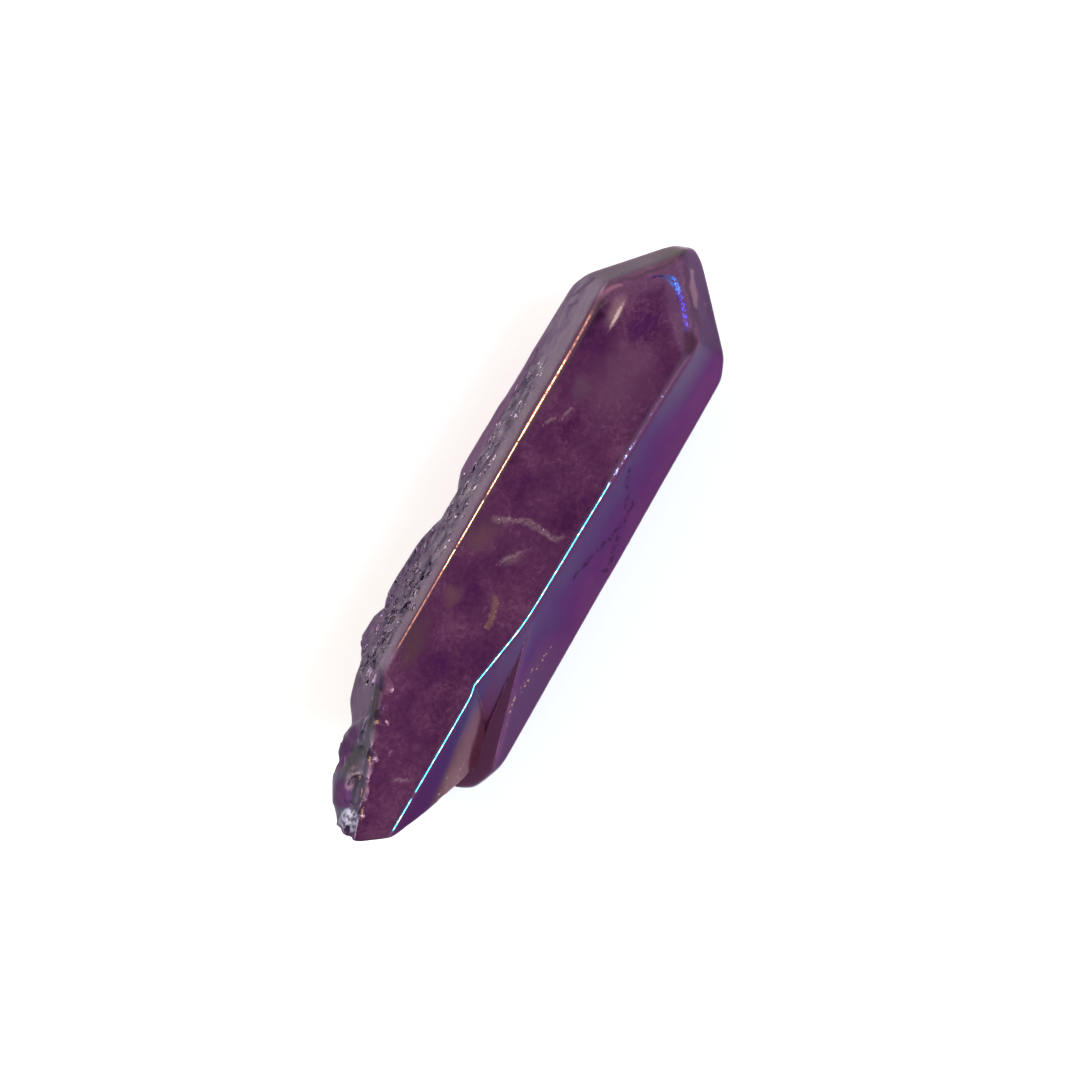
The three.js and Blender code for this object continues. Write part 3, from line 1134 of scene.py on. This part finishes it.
    def stroke(self, at: Signal, points: tuple[Spot, ...], width: float, soft: float) -> Signal:
        """A line drawn through points in the plane of the top face.

        Args:
            at: The place.
            points: The points, which go steadily on from the first to the last.
            width: The line's breadth.
            soft: The breadth of its soft border.

        Returns:
            1 on the line and 0 away from it.
        """
        start, end = np.array(points[0]), np.array(points[-1])
        length = float(np.linalg.norm(end - start))
        ahead = (end - start) / length
        side = np.array([-ahead[1], ahead[0]])
        offsets = [float((np.array(p) - start) @ side) for p in points]
        reach = max(0.01, max(abs(o) for o in offsets)) * 1.1
        along = self.measure(at, tuple(ahead), float(start @ ahead))
        across = self.measure(at, tuple(side), float(start @ side))
        share = along * (1 / length)
        curve = self.tree.nodes.new("ShaderNodeFloatCurve")
        knots = curve.mapping.curves[0].points
        while len(knots) < len(points):
            knots.new(0.5, 0.5)
        for knot, point, offset in zip(knots, points, offsets):
            knot.location = (float((np.array(point) - start) @ ahead) / length, 0.5 + offset / (2 * reach))
            knot.handle_type = "AUTO"
        curve.mapping.update()
        self.feed(curve.inputs["Value"], share)
        path = (Signal(self, curve.outputs[0]) - 0.5) * (2 * reach)
        gap = abs(across - path)
        ends = along.band(width / 2, length - width / 2, width / 2 + soft)
        return gap.rise(width / 2 + soft, width / 2) * ends


@dataclass(frozen=True)
class Tone:
    """How a region turns its own colour into the one seen: scaled, and veiled by what it mirrors."""

    gain: float
    veil: Colour

    def under(self, red: int, green: int, blue: int) -> Colour:
        """The colour the skin needs so that it is seen as the given one."""
        seen = srgb(red, green, blue)
        return tuple(max((c - veil) / self.gain, 0.002) for c, veil in zip(seen, self.veil))


@dataclass(frozen=True)
class AuraCoating:
    """The metal-vapour coating over see-through violet quartz: a plum broad face, iridescent flanks."""

    face: Tone = Tone(0.74, (0.012, 0.006, 0.012))
    left: Tone = Tone(1.3, (0.05, 0.045, 0.038))
    right: Tone = Tone(1.2, (0.03, 0.02, 0.045))
    wall: Tone = Tone(1.4, (0.042, 0.026, 0.042))
    tip_left: Tone = Tone(1.35, (0.075, 0.03, 0.062))
    tip_right: Tone = Tone(1.47, (0.115, 0.088, 0.105))
    broken: Tone = Tone(1.4, (0.085, 0.08, 0.068))
    clearness: float = 0.6
    refraction: float = 1.54
    glance: Colour = (0.78, 0.62, 0.74)
    absorbed: Colour = (0.69, 0.44, 0.68)
    density: float = 300.0

    def make(self) -> bpy.types.Material:
        """Builds the material."""
        graph = Graph("aura_quartz_skin")
        painter = Painter(graph, self)
        shader = graph.shader
        graph.feed(shader.inputs["Base Color"], painter.colour())
        graph.feed(shader.inputs["Metallic"], painter.metal())
        graph.feed(shader.inputs["Roughness"], painter.roughness())
        shader.inputs["IOR"].default_value = self.refraction
        shader.inputs["Transmission Weight"].default_value = self.clearness
        shader.inputs["Specular Tint"].default_value = (*self.glance, 1)
        graph.feed(shader.inputs["Normal"], painter.bump())
        absorb = graph.tree.nodes.new("ShaderNodeVolumeAbsorption")
        absorb.inputs["Color"].default_value = (*self.absorbed, 1)
        absorb.inputs["Density"].default_value = self.density
        output = graph.tree.nodes["Material Output"]
        graph.tree.links.new(absorb.outputs[0], output.inputs["Volume"])
        return graph.material


class Painter:
    """Paints the crystal's skin, region by region."""

    METAL: ClassVar[dict[Region, float]] = {
        Region.TOP: 0.08,
        Region.LEFT: 0.55,
        Region.RIGHT: 0.97,
        Region.WALL_HIGH: 0.95,
        Region.WALL_LOW: 0.9,
        Region.CLEFT: 0.3,
        Region.TIP_LEFT: 0.95,
        Region.TIP_RIGHT: 0.95,
        Region.LOW: 0.6,
        Region.BROKEN: 0.25,
        Region.KNOB: 0.22,
        Region.BEVEL: 0.1,
    }
    # The golden glints along the jagged end of the top face are painted highlights: a place and a half length
    # each.
    GLINTS: ClassVar[tuple[tuple[Spot, float], ...]] = (
        ((-18.85, 3.2), 0.3),
        ((-21.9, 2.3), 0.35),
        ((-23.6, 2.2), 0.2),
        ((-24.6, 1.55), 0.3),
        ((-26.0, 0.7), 0.6),
    )

    def __init__(self, graph: Graph, look: AuraCoating) -> None:
        """Takes the signals that several regions share.

        Args:
            graph: The material to paint in.
            look: The tones of the coating.
        """
        self.graph = graph
        self.look = look
        self.at = graph.spot_on()
        self.x, self.y, self.z = graph.split(self.at)
        normal = Signal(graph, graph.place.outputs["Normal"])
        _, side, up = graph.split(normal)
        self.tilt = graph.math("ARCTAN2", side, up) * (180 / math.pi)
        self.steep = graph.math("ARCCOSINE", up, 0.0) * (180 / math.pi)
        self.ragged = graph.warped(self.at, 0.9, 0.35)
        self.curled = graph.warped(self.at, 2.4, 1.3)
        self.grain = graph.noise(self.ragged, 0.42, 4.0, 0.6)
        self.fine = graph.noise(self.at, 0.16, 2.0, 0.7)
        self.smoke = graph.noise(self.curled, 3.2, 3.0, 0.5)
        self.shares = {region: graph.mask(region.value) for region in Region}
        self.pit = graph.mask("pit")
        self.chipped = graph.mask("chipped")
        self.shard = graph.mask("shard")
        # Painted light: the crease at the foot of the lower wall, which mirrors the dark cleft, is lightened
        # pink and made to mirror less.
        self.crease = self.tilt.rise(-62, -65) * self.shares[Region.WALL_LOW]
        self.plum = self._plum()
        self._set_out_edges()

    def _plum(self) -> Signal:
        """The darkest scars of the base: the knob, the bevel's outer rim and the far end."""
        spots = (
            ((-25.5, 2.9), (1.3, 0.8), 30.0),
            ((-21.9, 4.4), (2.1, 0.5), 4.0),
            ((-28.2, 1.1), (0.5, 0.9), 0.0),
        )
        total: Signal | float = 0.0
        for centre, size, turn in spots:
            spot = self.graph.blot(self.ragged, centre, size, turn).rise(1.25, 0.7)
            total = spot + total
        return total * self.z.rise(7.5, 8.5)

    def _set_out_edges(self) -> None:
        """Where the painted highlight lines along the top face's edges are, with the painted dark bands
        beside them and the painted blue arc highlight near the tip.
        """
        graph = self.graph
        upper = self.z.rise(11.2, 11.6)
        beads = graph.noise(self.at.stretched((1, 0.3, 0.3)), 0.9, 4.0, 0.75)
        bright = self.x.band(-4.5, 14.5, 1.5) * 0.6 + self.x.band(-12, 19, 1.0) * 0.4
        bright = bright * (1 - self.x.band(1.7, 2.1, 0.15) * 0.8)
        bead = self.fine.rise(0.3, 0.5)
        left_side = upper * self.y.rise(3.4, 3.8)
        right_side = upper * self.y.rise(-1.6, -2.0)
        # The orange and cyan lines are painted highlights: coating hue with pale beads, laid where the lamps'
        # real reflections also fall.
        self.left_highlight_line = self.tilt.band(19, 41, 5) * left_side * bright * beads.rise(0.28, 0.5) * bead
        long = self.x.band(-22.2, 7.8, 0.3) + self.x.band(-25.9, -23.2, 0.3)
        highlight_sparks = self.x.band(7.8, 19.5, 0.5) * self.fine.rise(0.5, 0.6) * beads.rise(0.5, 0.6)
        self.right_highlight_line = self.tilt.band(-41, -17, 5) * right_side * (long * beads.rise(0.2, 0.45) + highlight_sparks)
        # Painted shade: dark bands beside the highlight lines, where the rounded edge mirrors the dim
        # horizon.
        self.left_shade_band = self.tilt.band(8, 56, 6) * left_side * self.x.rise(22.3, 20.0)
        self.right_shade_band = self.tilt.band(-56, -8, 6) * right_side * self.x.rise(22.6, 21.8)
        streaks = graph.noise(self.at.stretched((0.7, 1.1, 0.1)), 0.24, 4.0, 0.75).rise(0.4, 0.56)
        # The blue arc near the tip is a painted highlight; its metal also mirrors the tip lamp.
        bow = ((22.2, -3.3), (23.5, -2.35), (24.5, -1.4), (25.1, -0.6), (25.3, 0.0), (25.1, 0.6), (24.6, 1.3))
        self.arc = graph.stroke(self.at, bow, 0.14, 0.4) * streaks * self.shares[Region.TOP]
        self.bend = self.steep.rise(4, 9) * self.shares[Region.TOP] * self.x.rise(20, 21) * (1 - self.arc)

    def colour(self) -> Signal:
        """The colour of the whole skin."""
        wall = self._wall()
        broken = self._broken()
        regions = {
            Region.TOP: self._top(),
            Region.LEFT: self._left(),
            Region.RIGHT: self._right(),
            Region.WALL_HIGH: wall,
            # Painted light lifts the crease at the foot of the lower wall.
            Region.WALL_LOW: self.graph.mix(wall, srgb(150, 76, 100), self.crease * 0.35),
            Region.CLEFT: self.look.face.under(90, 44, 76),
            Region.TIP_LEFT: self._tip_left(),
            Region.TIP_RIGHT: self._tip_right(),
            Region.LOW: self._low(),
            Region.BROKEN: broken,
            Region.KNOB: broken,
            Region.BEVEL: broken,
        }
        skin = self.graph.weigh([(self.shares[region], paint) for region, paint in regions.items()])
        skin = self._edges(skin)
        # Painted shade: the pits are darkened where they lie deep.
        skin = self.graph.mix(skin, srgb(30, 18, 38), self.pit * 0.95)
        # Painted highlights: pale sparkles scattered over the pitted belt.
        glints = self.graph.flecks(self.at, 0.7, 0.12, 0.16) * self.shares[Region.LEFT] * self._belt()
        return self.graph.mix(skin, srgb(235, 230, 235), glints)

    def _belt(self) -> Signal:
        """The pitted belt of the left flank."""
        return self.y.band(5.6, 7.2, 0.3) * self.x.band(-17, 13.5, 1.0)

    def _top(self) -> Signal:
        """The broad top face: wispy plum with clouds, dark patches and a healed crack, with painted
        highlights: sparkles on the crack, a pale streak and pink corner line near the tip, and a blue arc.
        """
        graph, under = self.graph, self.look.face.under
        wisps = self.smoke * 0.5 + self.grain * 0.36 + self.fine * 0.14
        base = graph.ramp(
            wisps,
            (
                (0.36, under(74, 30, 76)),
                (0.46, under(85, 40, 78)),
                (0.54, under(93, 47, 83)),
                (0.64, under(108, 62, 94)),
            ),
        )
        clouds = (
            ((16.0, -0.4), (4.4, 2.9), 0.0, under(106, 68, 94), 0.55),
            ((13.8, 2.0), (1.5, 1.0), 0.0, under(108, 76, 96), 0.5),
            ((21.0, -0.2), (2.4, 1.7), 0.0, under(72, 24, 78), 0.7),
            ((10.4, 1.2), (1.7, 1.0), 0.0, under(72, 22, 70), 0.7),
            ((3.6, -2.2), (1.8, 1.2), 0.0, under(66, 24, 68), 0.65),
            ((3.4, 2.0), (1.0, 0.6), 0.0, under(74, 26, 70), 0.5),
            ((5.7, 3.9), (1.1, 0.5), 0.0, under(66, 24, 56), 0.6),
            ((20.0, 3.6), (2.4, 0.5), -6.0, under(50, 14, 48), 0.8),
            ((-0.8, 3.4), (2.2, 1.4), 0.0, under(104, 70, 80), 0.6),
            ((-6.6, 2.8), (1.6, 0.7), 0.0, under(120, 84, 88), 0.45),
            ((-11.5, 3.8), (3.2, 1.2), 10.0, under(92, 62, 74), 0.7),
            ((-1.6, 0.1), (1.1, 0.6), -35.0, under(124, 92, 106), 0.5),
            ((-19.1, -0.6), (0.6, 0.55), 0.0, under(112, 72, 102), 0.4),
            ((-17.9, -2.2), (2.0, 1.0), 0.0, under(74, 32, 64), 0.4),
            ((-14.0, -1.0), (3.0, 1.2), 0.0, under(66, 22, 62), 0.5),
        )
        for centre, size, turn, colour, strength in clouds:
            reach = graph.blot(self.curled if size[0] > 1.5 else self.ragged, centre, size, turn)
            reach = reach + (self.grain - 0.5) * 1.4
            base = graph.mix(base, colour, reach.rise(1.1, 0.2) * strength)
        fibre = abs(graph.noise(self.curled, 1.1, 2.0) - 0.5).rise(0.022, 0.0)
        base = graph.mix(base, under(128, 84, 112), fibre * self.smoke.rise(0.4, 0.6) * 0.4)
        speckle = self.grain.rise(0.4, 0.6)
        crack = (
            ((0.7, 3.0), (0.85, 2.5), (1.3, 1.6), (1.65, 0.8))
            + ((1.75, -0.2), (1.75, -1.2), (1.65, -2.0), (1.95, -2.6))
        )
        veil = graph.stroke(self.ragged, crack, 0.14, 0.38)
        base = graph.mix(base, under(140, 108, 120), veil * (self.fine.rise(0.3, 0.6) * 0.5 + speckle * 0.3))
        seam = graph.stroke(self.ragged, tuple((x + 0.14, y) for x, y in crack), 0.05, 0.12)
        # Painted highlights: sparkling dots along the healed crack, and golden glints on the flake.
        dots = graph.flecks(self.at, 0.22, 0.45, 0.3)
        base = graph.mix(base, under(225, 205, 205), seam * dots)
        flake = graph.stroke(self.ragged, ((-7.5, -0.9), (-6.2, -0.75), (-5.0, -0.2)), 0.15, 0.35)
        base = graph.mix(base, under(136, 94, 90), flake * (self.fine.rise(0.3, 0.6) * 0.6 + 0.2))
        base = graph.mix(base, under(215, 170, 136), flake * dots * 0.7)
        marks = (
            ((10.05, 2.9), (0.65, 0.16), -25.0),
            ((11.4, 2.0), (0.75, 0.12), -15.0),
            ((-1.4, 0.15), (1.2, 0.14), -35.0),
            ((-22.1, -0.9), (0.75, 0.14), -60.0),
            ((-20.5, 1.05), (0.3, 0.08), -8.0),
        )
        for centre, size, turn in marks:
            mark = (graph.blot(self.ragged, centre, size, turn) + (self.fine - 0.5) * 4.0).rise(1.3, 0.5)
            base = graph.mix(base, under(142, 108, 120), mark * 0.6)
        # Painted highlight: a pale streak with a soft halo near the left of the tip.
        highlight_halo = graph.blot(self.at, (20.7, 2.62), (2.1, 0.8)).rise(1.0, 0.0)
        base = graph.mix(base, under(150, 114, 120), highlight_halo * (0.35 + self.grain * 0.9))
        painted_streak_highlight = (graph.blot(self.at, (20.4, 2.33), (1.7, 0.24), 1.0) + (self.fine - 0.5) * 0.9).rise(1.0, 0.2)
        base = graph.mix(base, under(222, 190, 184), painted_streak_highlight * 0.85)
        # Painted highlight: a pink line round the left corner of the tip.
        corner_highlight = graph.stroke(self.at, ((19.8, 4.32), (21.0, 4.28), (22.0, 3.95), (22.8, 3.35)), 0.08, 0.3)
        base = graph.mix(base, under(150, 92, 116), corner_highlight * 0.7)
        # Painted highlight: the blue arc, brightest near the middle of the tip.
        middle = graph.blot(self.at, (25.1, -0.4), (1.3, 1.5)).rise(1.0, 0.2)
        arc_highlight_hue = graph.mix(srgb(60, 60, 170), srgb(80, 150, 255), middle)
        return graph.mix(base, arc_highlight_hue, self.arc * (middle * 0.5 + 0.5))

    def _left(self) -> Signal:
        """The upper left flank: silvery lilac, blotched dark along its pitted belt."""
        graph, under = self.graph, self.look.left.under
        mottle = graph.noise(self.ragged.stretched((0.45, 1, 1)), 0.7, 4.0, 0.62)
        calm = graph.ramp(
            mottle,
            ((0.3, under(98, 80, 104)), (0.48, under(118, 101, 120)), (0.66, under(134, 120, 130))),
        )
        blotched = graph.ramp(
            mottle,
            ((0.36, under(68, 54, 74)), (0.5, under(112, 98, 112)), (0.66, under(142, 130, 136))),
        )
        flank = graph.mix(calm, blotched, self._belt())
        rim = self.y.rise(6.45, 6.8) * self.x.band(3, 15, 1.0)
        flank = graph.mix(flank, under(118, 84, 114), rim * 0.8)
        flank = graph.mix(flank, under(98, 80, 96), self.x.rise(-15.0, -17.5) * 0.8)
        shaded = self.y.rise(6.3, 7.2) * self.x.band(-14, -1.5, 1.5)
        flank = graph.mix(flank, under(84, 62, 90), shaded * (0.15 + self.grain * 0.6))
        strip = self.y.band(4.9, 5.4, 0.25) * self.x.rise(-16, -13)
        flank = graph.mix(flank, under(134, 116, 124), strip * 0.6)
        flecks = graph.flecks(self.ragged.stretched((0.7, 1, 1)), 0.6, 0.14, 0.2) * self.x.rise(11.5, 13)
        flank = graph.mix(flank, under(72, 54, 76), flecks * 0.8)
        cracks = (
            ((19.2, 6.3), (19.5, 6.0), (19.9, 5.9)),
            ((20.0, 6.35), (20.8, 6.0), (21.6, 5.8), (22.3, 5.45)),
            ((12.8, 6.75), (13.6, 6.65), (14.8, 6.7)),
            ((4.6, 5.8), (5.4, 5.7), (6.2, 5.75)),
        )
        for points in cracks:
            crack = graph.stroke(self.ragged, points, 0.05, 0.12)
            flank = graph.mix(flank, under(84, 52, 80), crack * 0.8)
        return flank

    def _right(self) -> Signal:
        """The upper right flank: blue-violet by the top edge, purple, then magenta at the rim."""
        graph, under = self.graph, self.look.right.under
        drift = self.y + (self.smoke - 0.5) * 3.0
        flank = graph.ramp(
            drift.rise(-8.0, -4.0),
            (
                (0.0, under(108, 62, 112)),
                (0.35, under(97, 54, 110)),
                (0.7, under(88, 58, 110)),
                (1.0, under(86, 68, 112)),
            ),
        )
        flank = graph.mix(flank, under(100, 74, 110), self.x.rise(-4, -9) * self.y.rise(-5.0, -6.0) * 0.7)
        greyer = self.x.rise(12, 20) * self.y.rise(-6.8, -5.0)
        flank = graph.mix(flank, under(102, 88, 116), greyer * 0.8)
        torn = self.grain.rise(0.42, 0.56)
        # Painted shade: dark lines where shallow grooves cross the flank.
        wisps = (
            ((-0.5, -5.2), (1.5, -5.5), (3.0, -5.9), (5.2, -6.5), (7.6, -6.4)),
            ((6.8, -6.15), (7.6, -5.9), (8.5, -5.3), (9.8, -4.9)),
            ((1.2, -7.1), (2.4, -7.2), (3.4, -6.9), (4.4, -6.8)),
        )
        for points in wisps:
            line = graph.stroke(self.ragged, points, 0.08, 0.2)
            flank = graph.mix(flank, under(56, 30, 72), line * torn * 0.75)
        # Painted highlights: pale gold glints along a seam of the flank.
        seam = ((-13.6, -6.3), (-12.0, -5.95), (-9.5, -6.1), (-6.3, -6.3))
        gold = graph.stroke(self.ragged, seam, 0.1, 0.2)
        return graph.mix(flank, under(190, 160, 140), gold * graph.flecks(self.at, 0.3, 0.5, 0.45))

    def _low(self) -> Signal:
        """The lower flanks, the underside of the body and its far end: cloudy purple."""
        under = self.look.right.under
        cloud = self.smoke * 0.6 + self.grain * 0.4
        return self.graph.ramp(
            cloud,
            ((0.38, under(72, 40, 96)), (0.5, under(92, 54, 106)), (0.62, under(116, 74, 110))),
        )

    def _wall(self) -> Signal:
        """The right wall of the main crystal: blue-violet above a slanting border, pinkish brown below."""
        graph, under = self.graph, self.look.wall.under
        border = self.y - self.x * 0.0625 + 2.63
        upper = graph.ramp(
            self.x.rise(-26, -8),
            (
                (0.0, under(84, 48, 92)),
                (0.4, under(80, 54, 104)),
                (0.7, under(76, 66, 110)),
                (1.0, under(90, 68, 114)),
            ),
        )
        lower = graph.ramp(
            self.x.rise(-20, -7),
            (
                (0.0, under(80, 44, 58)),
                (0.2, under(88, 44, 66)),
                (0.5, under(102, 58, 94)),
                (1.0, under(94, 74, 114)),
            ),
        )
        wall = graph.mix(lower, upper, (border + (self.smoke - 0.5) * 0.5).rise(-0.12, 0.12))
        patch = graph.blot(self.ragged, (-20.2, -4.7), (1.9, 0.8), 15.0).rise(1.1, 0.4)
        wall = graph.mix(wall, under(106, 78, 70), patch * 0.7)
        # Painted highlights: pale glints on the far part of the wall.
        glints = graph.flecks(self.at, 0.4, 0.2, 0.3) * self.x.rise(-14.5, -16.5) * self.y.rise(-3.9, -4.2)
        return graph.mix(wall, under(240, 220, 190), glints)

    def _tip_left(self) -> Signal:
        """The left tip face: olive grey, browner at the very tip."""
        graph, under = self.graph, self.look.tip_left.under
        face = graph.mix(under(111, 95, 107), under(98, 88, 84), self.x.rise(25.5, 27.5) * 0.8)
        flecks = graph.flecks(self.ragged, 0.7, 0.1, 0.16)
        return graph.mix(face, under(70, 50, 60), flecks * 0.7)

    def _tip_right(self) -> Signal:
        """The right tip face: lilac grey with a pale streak and a purple rim."""
        graph, under = self.graph, self.look.tip_right.under
        face = graph.mix(under(100, 66, 106), under(109, 92, 114), self.z.rise(6.5, 10.0))
        streak = graph.stroke(self.curled, ((24.3, -2.9), (25.4, -2.1), (26.5, -1.4)), 0.25, 0.5)
        return graph.mix(face, under(156, 128, 140), streak * 0.8)

    def _broken(self) -> Signal:
        """The broken base: scars of plum, grey and olive, and a painted silvery highlight on the far facet;
        the golden glints of the jagged edge are painted highlights added with the edge lines.
        """
        graph, under = self.graph, self.look.broken.under
        tone = self.shard * 0.75 + self.grain * 0.25
        scars = graph.ramp(
            tone,
            (
                (0.1, under(62, 34, 70)),
                (0.4, under(84, 52, 92)),
                (0.65, under(94, 72, 104)),
                (0.85, under(120, 104, 118)),
            ),
        )
        scars = graph.mix(scars, srgb(58, 32, 64), self.plum)
        pale = graph.blot(self.ragged, (-23.9, 2.75), (1.2, 0.55), 12.0).rise(1.2, 0.5)
        scars = graph.mix(scars, under(196, 160, 174), pale * self.grain.rise(0.35, 0.6) * 0.5)
        # Painted highlight: a silvery sheen on the far facet of the base.
        silver = graph.blot(self.ragged, (-27.1, 1.25), (1.0, 0.85), 20.0).rise(1.1, 0.8)
        silver = silver * self.z.rise(8.8, 9.6)
        return graph.mix(scars, under(190, 192, 214), silver * self.grain.rise(0.42, 0.56))

    def _edges(self, skin: Signal) -> Signal:
        """The painted highlight lines along the edges of the top face and the painted dark bands beside them,
        the painted golden glints of its jagged end, and painted shade lines along the tip's edges.

        Args:
            skin: The colour without them.

        Returns:
            The colour with them.
        """
        graph = self.graph
        # Painted shade: dark bands beside the edge highlights.
        skin = graph.mix(skin, srgb(62, 24, 44), self.left_shade_band * self.x.rise(-13.5, -12) * 0.85)
        skin = graph.mix(skin, srgb(66, 22, 52), self.right_shade_band * 0.7)
        # Painted highlights: the orange line on the left edge, and the cyan line with pale sparkles on the
        # right.
        warm = graph.mix(srgb(190, 96, 70), srgb(220, 160, 120), self.tilt.band(26, 35, 4))
        skin = graph.mix(skin, warm, self.left_highlight_line)
        cold = graph.mix(srgb(30, 110, 190), srgb(60, 170, 180), self.tilt.band(-34, -25, 4))
        sparkle_highlight = graph.noise(self.at, 0.5, 2.0, 0.7).rise(0.5, 0.66)
        cold = graph.mix(cold, srgb(200, 200, 215), sparkle_highlight * 0.8)
        cold = graph.mix(cold, srgb(150, 160, 220), self.x.rise(7.5, 8.5))
        skin = graph.mix(skin, cold, self.right_highlight_line)
        # Painted highlights: golden glints on the jagged end of the top face.
        upper = self.z.rise(9.6, 10.6) * 0.8
        for spot, length in self.GLINTS:
            glint = graph.blot(self.ragged, spot, (length, 0.09), 25.0) + (self.fine - 0.5) * 5.0
            skin = graph.mix(skin, srgb(232, 176, 128), glint.rise(1.0, 0.4) * upper)
        # Painted shade: dark lines along the edges of the tip faces.
        left = ((21.9, 4.3), (22.6, 3.95), (24.0, 2.55), (25.2, 1.5), (26.7, 0.4))
        right = ((20.6, -4.45), (22.0, -4.05), (24.0, -2.85), (25.2, -1.75), (26.8, -0.5))
        for points in (left, right):
            line = graph.stroke(self.ragged, points, 0.06, 0.22)
            skin = graph.mix(skin, srgb(62, 32, 52), line * self.z.rise(10.6, 11.2) * 0.7)
        return skin

    def metal(self) -> Signal:
        """How much the coating mirrors."""
        total: Signal | None = None
        for region, amount in self.METAL.items():
            part = self.shares[region] * amount
            total = part if total is None else total + part
        total = total + self.arc * 0.6 + self.plum * 0.7
        lines = self.left_highlight_line + self.right_highlight_line
        clear = (1 - self.pit * 0.6) * (1 - self.crease * 0.4)
        return self.graph.math("MINIMUM", total.top(lines * 0.9) * clear, 1.0)

    def roughness(self) -> Signal:
        """How matt the skin is."""
        lines = self.left_highlight_line + self.right_highlight_line
        dull = (self.left_shade_band + self.right_shade_band) * (1 - lines) + self.bend
        rubbed = (self.shares[Region.BEVEL] + self.shares[Region.KNOB]) * 0.22
        worn = self.chipped * 0.2 + rubbed + self.shares[Region.TIP_RIGHT] * 0.08
        own = self.grain * 0.1 + 0.1 + self.shares[Region.LEFT] * 0.08 + self.pit * 0.3 + worn
        return self.graph.math("MAXIMUM", own + dull * 0.45 - lines * 0.08, 0.04)

    def bump(self) -> Signal:
        """Fine unevenness of the skin."""
        graph = self.graph
        etched = self.shares[Region.LEFT] * 0.35 + self.chipped * 0.3
        height = graph.noise(self.at, 1.1, 1.0) * 0.12 + graph.noise(self.at, 0.36, 2.0, 0.6) * etched
        values = {"Height": height, "Distance": 0.00003, "Strength": 1.0}
        return graph.add("ShaderNodeBump", values)


@dataclass(frozen=True)
class Lamp:
    """A soft rectangular light that faces the crystal, its place in millimetres and its size in metres."""

    name: str
    at: Point
    size: Spot
    power: float
    hue: Colour

    def hang(self) -> None:
        """Puts the lamp up."""
        data = bpy.data.lights.new(self.name, "AREA")
        data.shape = "RECTANGLE"
        data.size, data.size_y = self.size
        data.energy = self.power
        data.color = self.hue
        lamp = bpy.data.objects.new(self.name, data)
        lamp.location = [c * MM for c in self.at]
        lamp.rotation_mode = "QUATERNION"
        lamp.rotation_quaternion = lamp.location.to_track_quat("Z", "Y")
        lamp.visible_camera = False
        bpy.context.scene.collection.objects.link(lamp)


@dataclass(frozen=True)
class Studio:
    """The pale floor, the soft lights, the dim room and the camera above."""

    centre: Point = (1.0, -1.2, 0.0)
    frame_width: float = 90.0
    camera_height: float = 1800.0
    focus_height: float = 9.0
    sensor: float = 36.0
    lamps: tuple[Lamp, ...] = (
        Lamp("warm_light", (0, 1300, 750), (1.5, 0.6), 40.0, srgb(255, 249, 242)),
        Lamp("cool_light", (0, -1300, 750), (1.5, 0.6), 40.0, srgb(244, 250, 255)),
        Lamp("tip_light", (650, -520, 1250), (0.35, 0.35), 3.0, srgb(170, 200, 255)),
    )

    def build(self) -> None:
        """Puts up the studio."""
        self._floor()
        self._room()
        for lamp in self.lamps:
            lamp.hang()
        self._camera()

    def _floor(self) -> None:
        """A wide pale floor just under the crystal."""
        half, low = 1.5, -0.00004
        mesh = bpy.data.meshes.new("floor")
        corners = [(-half, -half, low), (half, -half, low), (half, half, low), (-half, half, low)]
        mesh.from_pydata(corners, [], [(0, 1, 2, 3)])
        floor = bpy.data.objects.new("floor", mesh)
        bpy.context.scene.collection.objects.link(floor)
        material = bpy.data.materials.new("pale_floor")
        material.use_nodes = True
        shader = material.node_tree.nodes["Principled BSDF"]
        shader.inputs["Base Color"].default_value = (0.9, 0.9, 0.9, 1)
        shader.inputs["Roughness"].default_value = 0.9
        mesh.materials.append(material)

    def _room(self) -> None:
        """A dim even room."""
        world = bpy.data.worlds.new("room")
        world.use_nodes = True
        tree = world.node_tree
        place = tree.nodes.new("ShaderNodeTexCoord")
        split = tree.nodes.new("ShaderNodeSeparateXYZ")
        ramp = tree.nodes.new("ShaderNodeValToRGB")
        tree.links.new(place.outputs["Generated"], split.inputs[0])
        tree.links.new(split.outputs["Z"], ramp.inputs[0])
        tree.links.new(ramp.outputs[0], tree.nodes["Background"].inputs["Color"])
        stops = ((0.0, 1.0), (0.35, 0.95), (0.6, 0.5), (0.9, 0.2))
        while len(ramp.color_ramp.elements) < len(stops):
            ramp.color_ramp.elements.new(0.5)
        for element, (position, grey) in zip(ramp.color_ramp.elements, stops):
            element.position = position
            element.color = (grey, grey, grey, 1)
        tree.nodes["Background"].inputs["Strength"].default_value = 1.0
        bpy.context.scene.world = world

    def _camera(self) -> None:
        """A long lens straight above, turned so that the tip points to the upper right."""
        data = bpy.data.cameras.new("camera")
        data.sensor_width = self.sensor
        data.lens = self.sensor * (self.camera_height - self.focus_height) / self.frame_width
        data.clip_start, data.clip_end = 0.01, 10
        camera = bpy.data.objects.new("camera", data)
        x, y, _ = self.centre
        camera.location = (x * MM, y * MM, self.camera_height * MM)
        camera.rotation_euler = (0, 0, math.atan2(-0.873, 0.488))
        bpy.context.scene.collection.objects.link(camera)
        bpy.context.scene.camera = camera
        bpy.context.scene.view_settings.view_transform = "Standard"


def main() -> None:
    """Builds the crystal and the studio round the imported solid."""
    logging.basicConfig(level=logging.INFO, format="%(message)s")
    log = logging.getLogger("crystal")
    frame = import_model()
    crystal = QuartzPoint()
    skin = CrystalSkin(crystal).build(frame["nodes"][NODE])
    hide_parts(NODE)
    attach(skin, "root")
    log.info("%s: %d faces", skin.name, len(skin.data.polygons))
    skin.data.materials.append(AuraCoating().make())
    Studio().build()


if __name__ == "__main__":
    main()
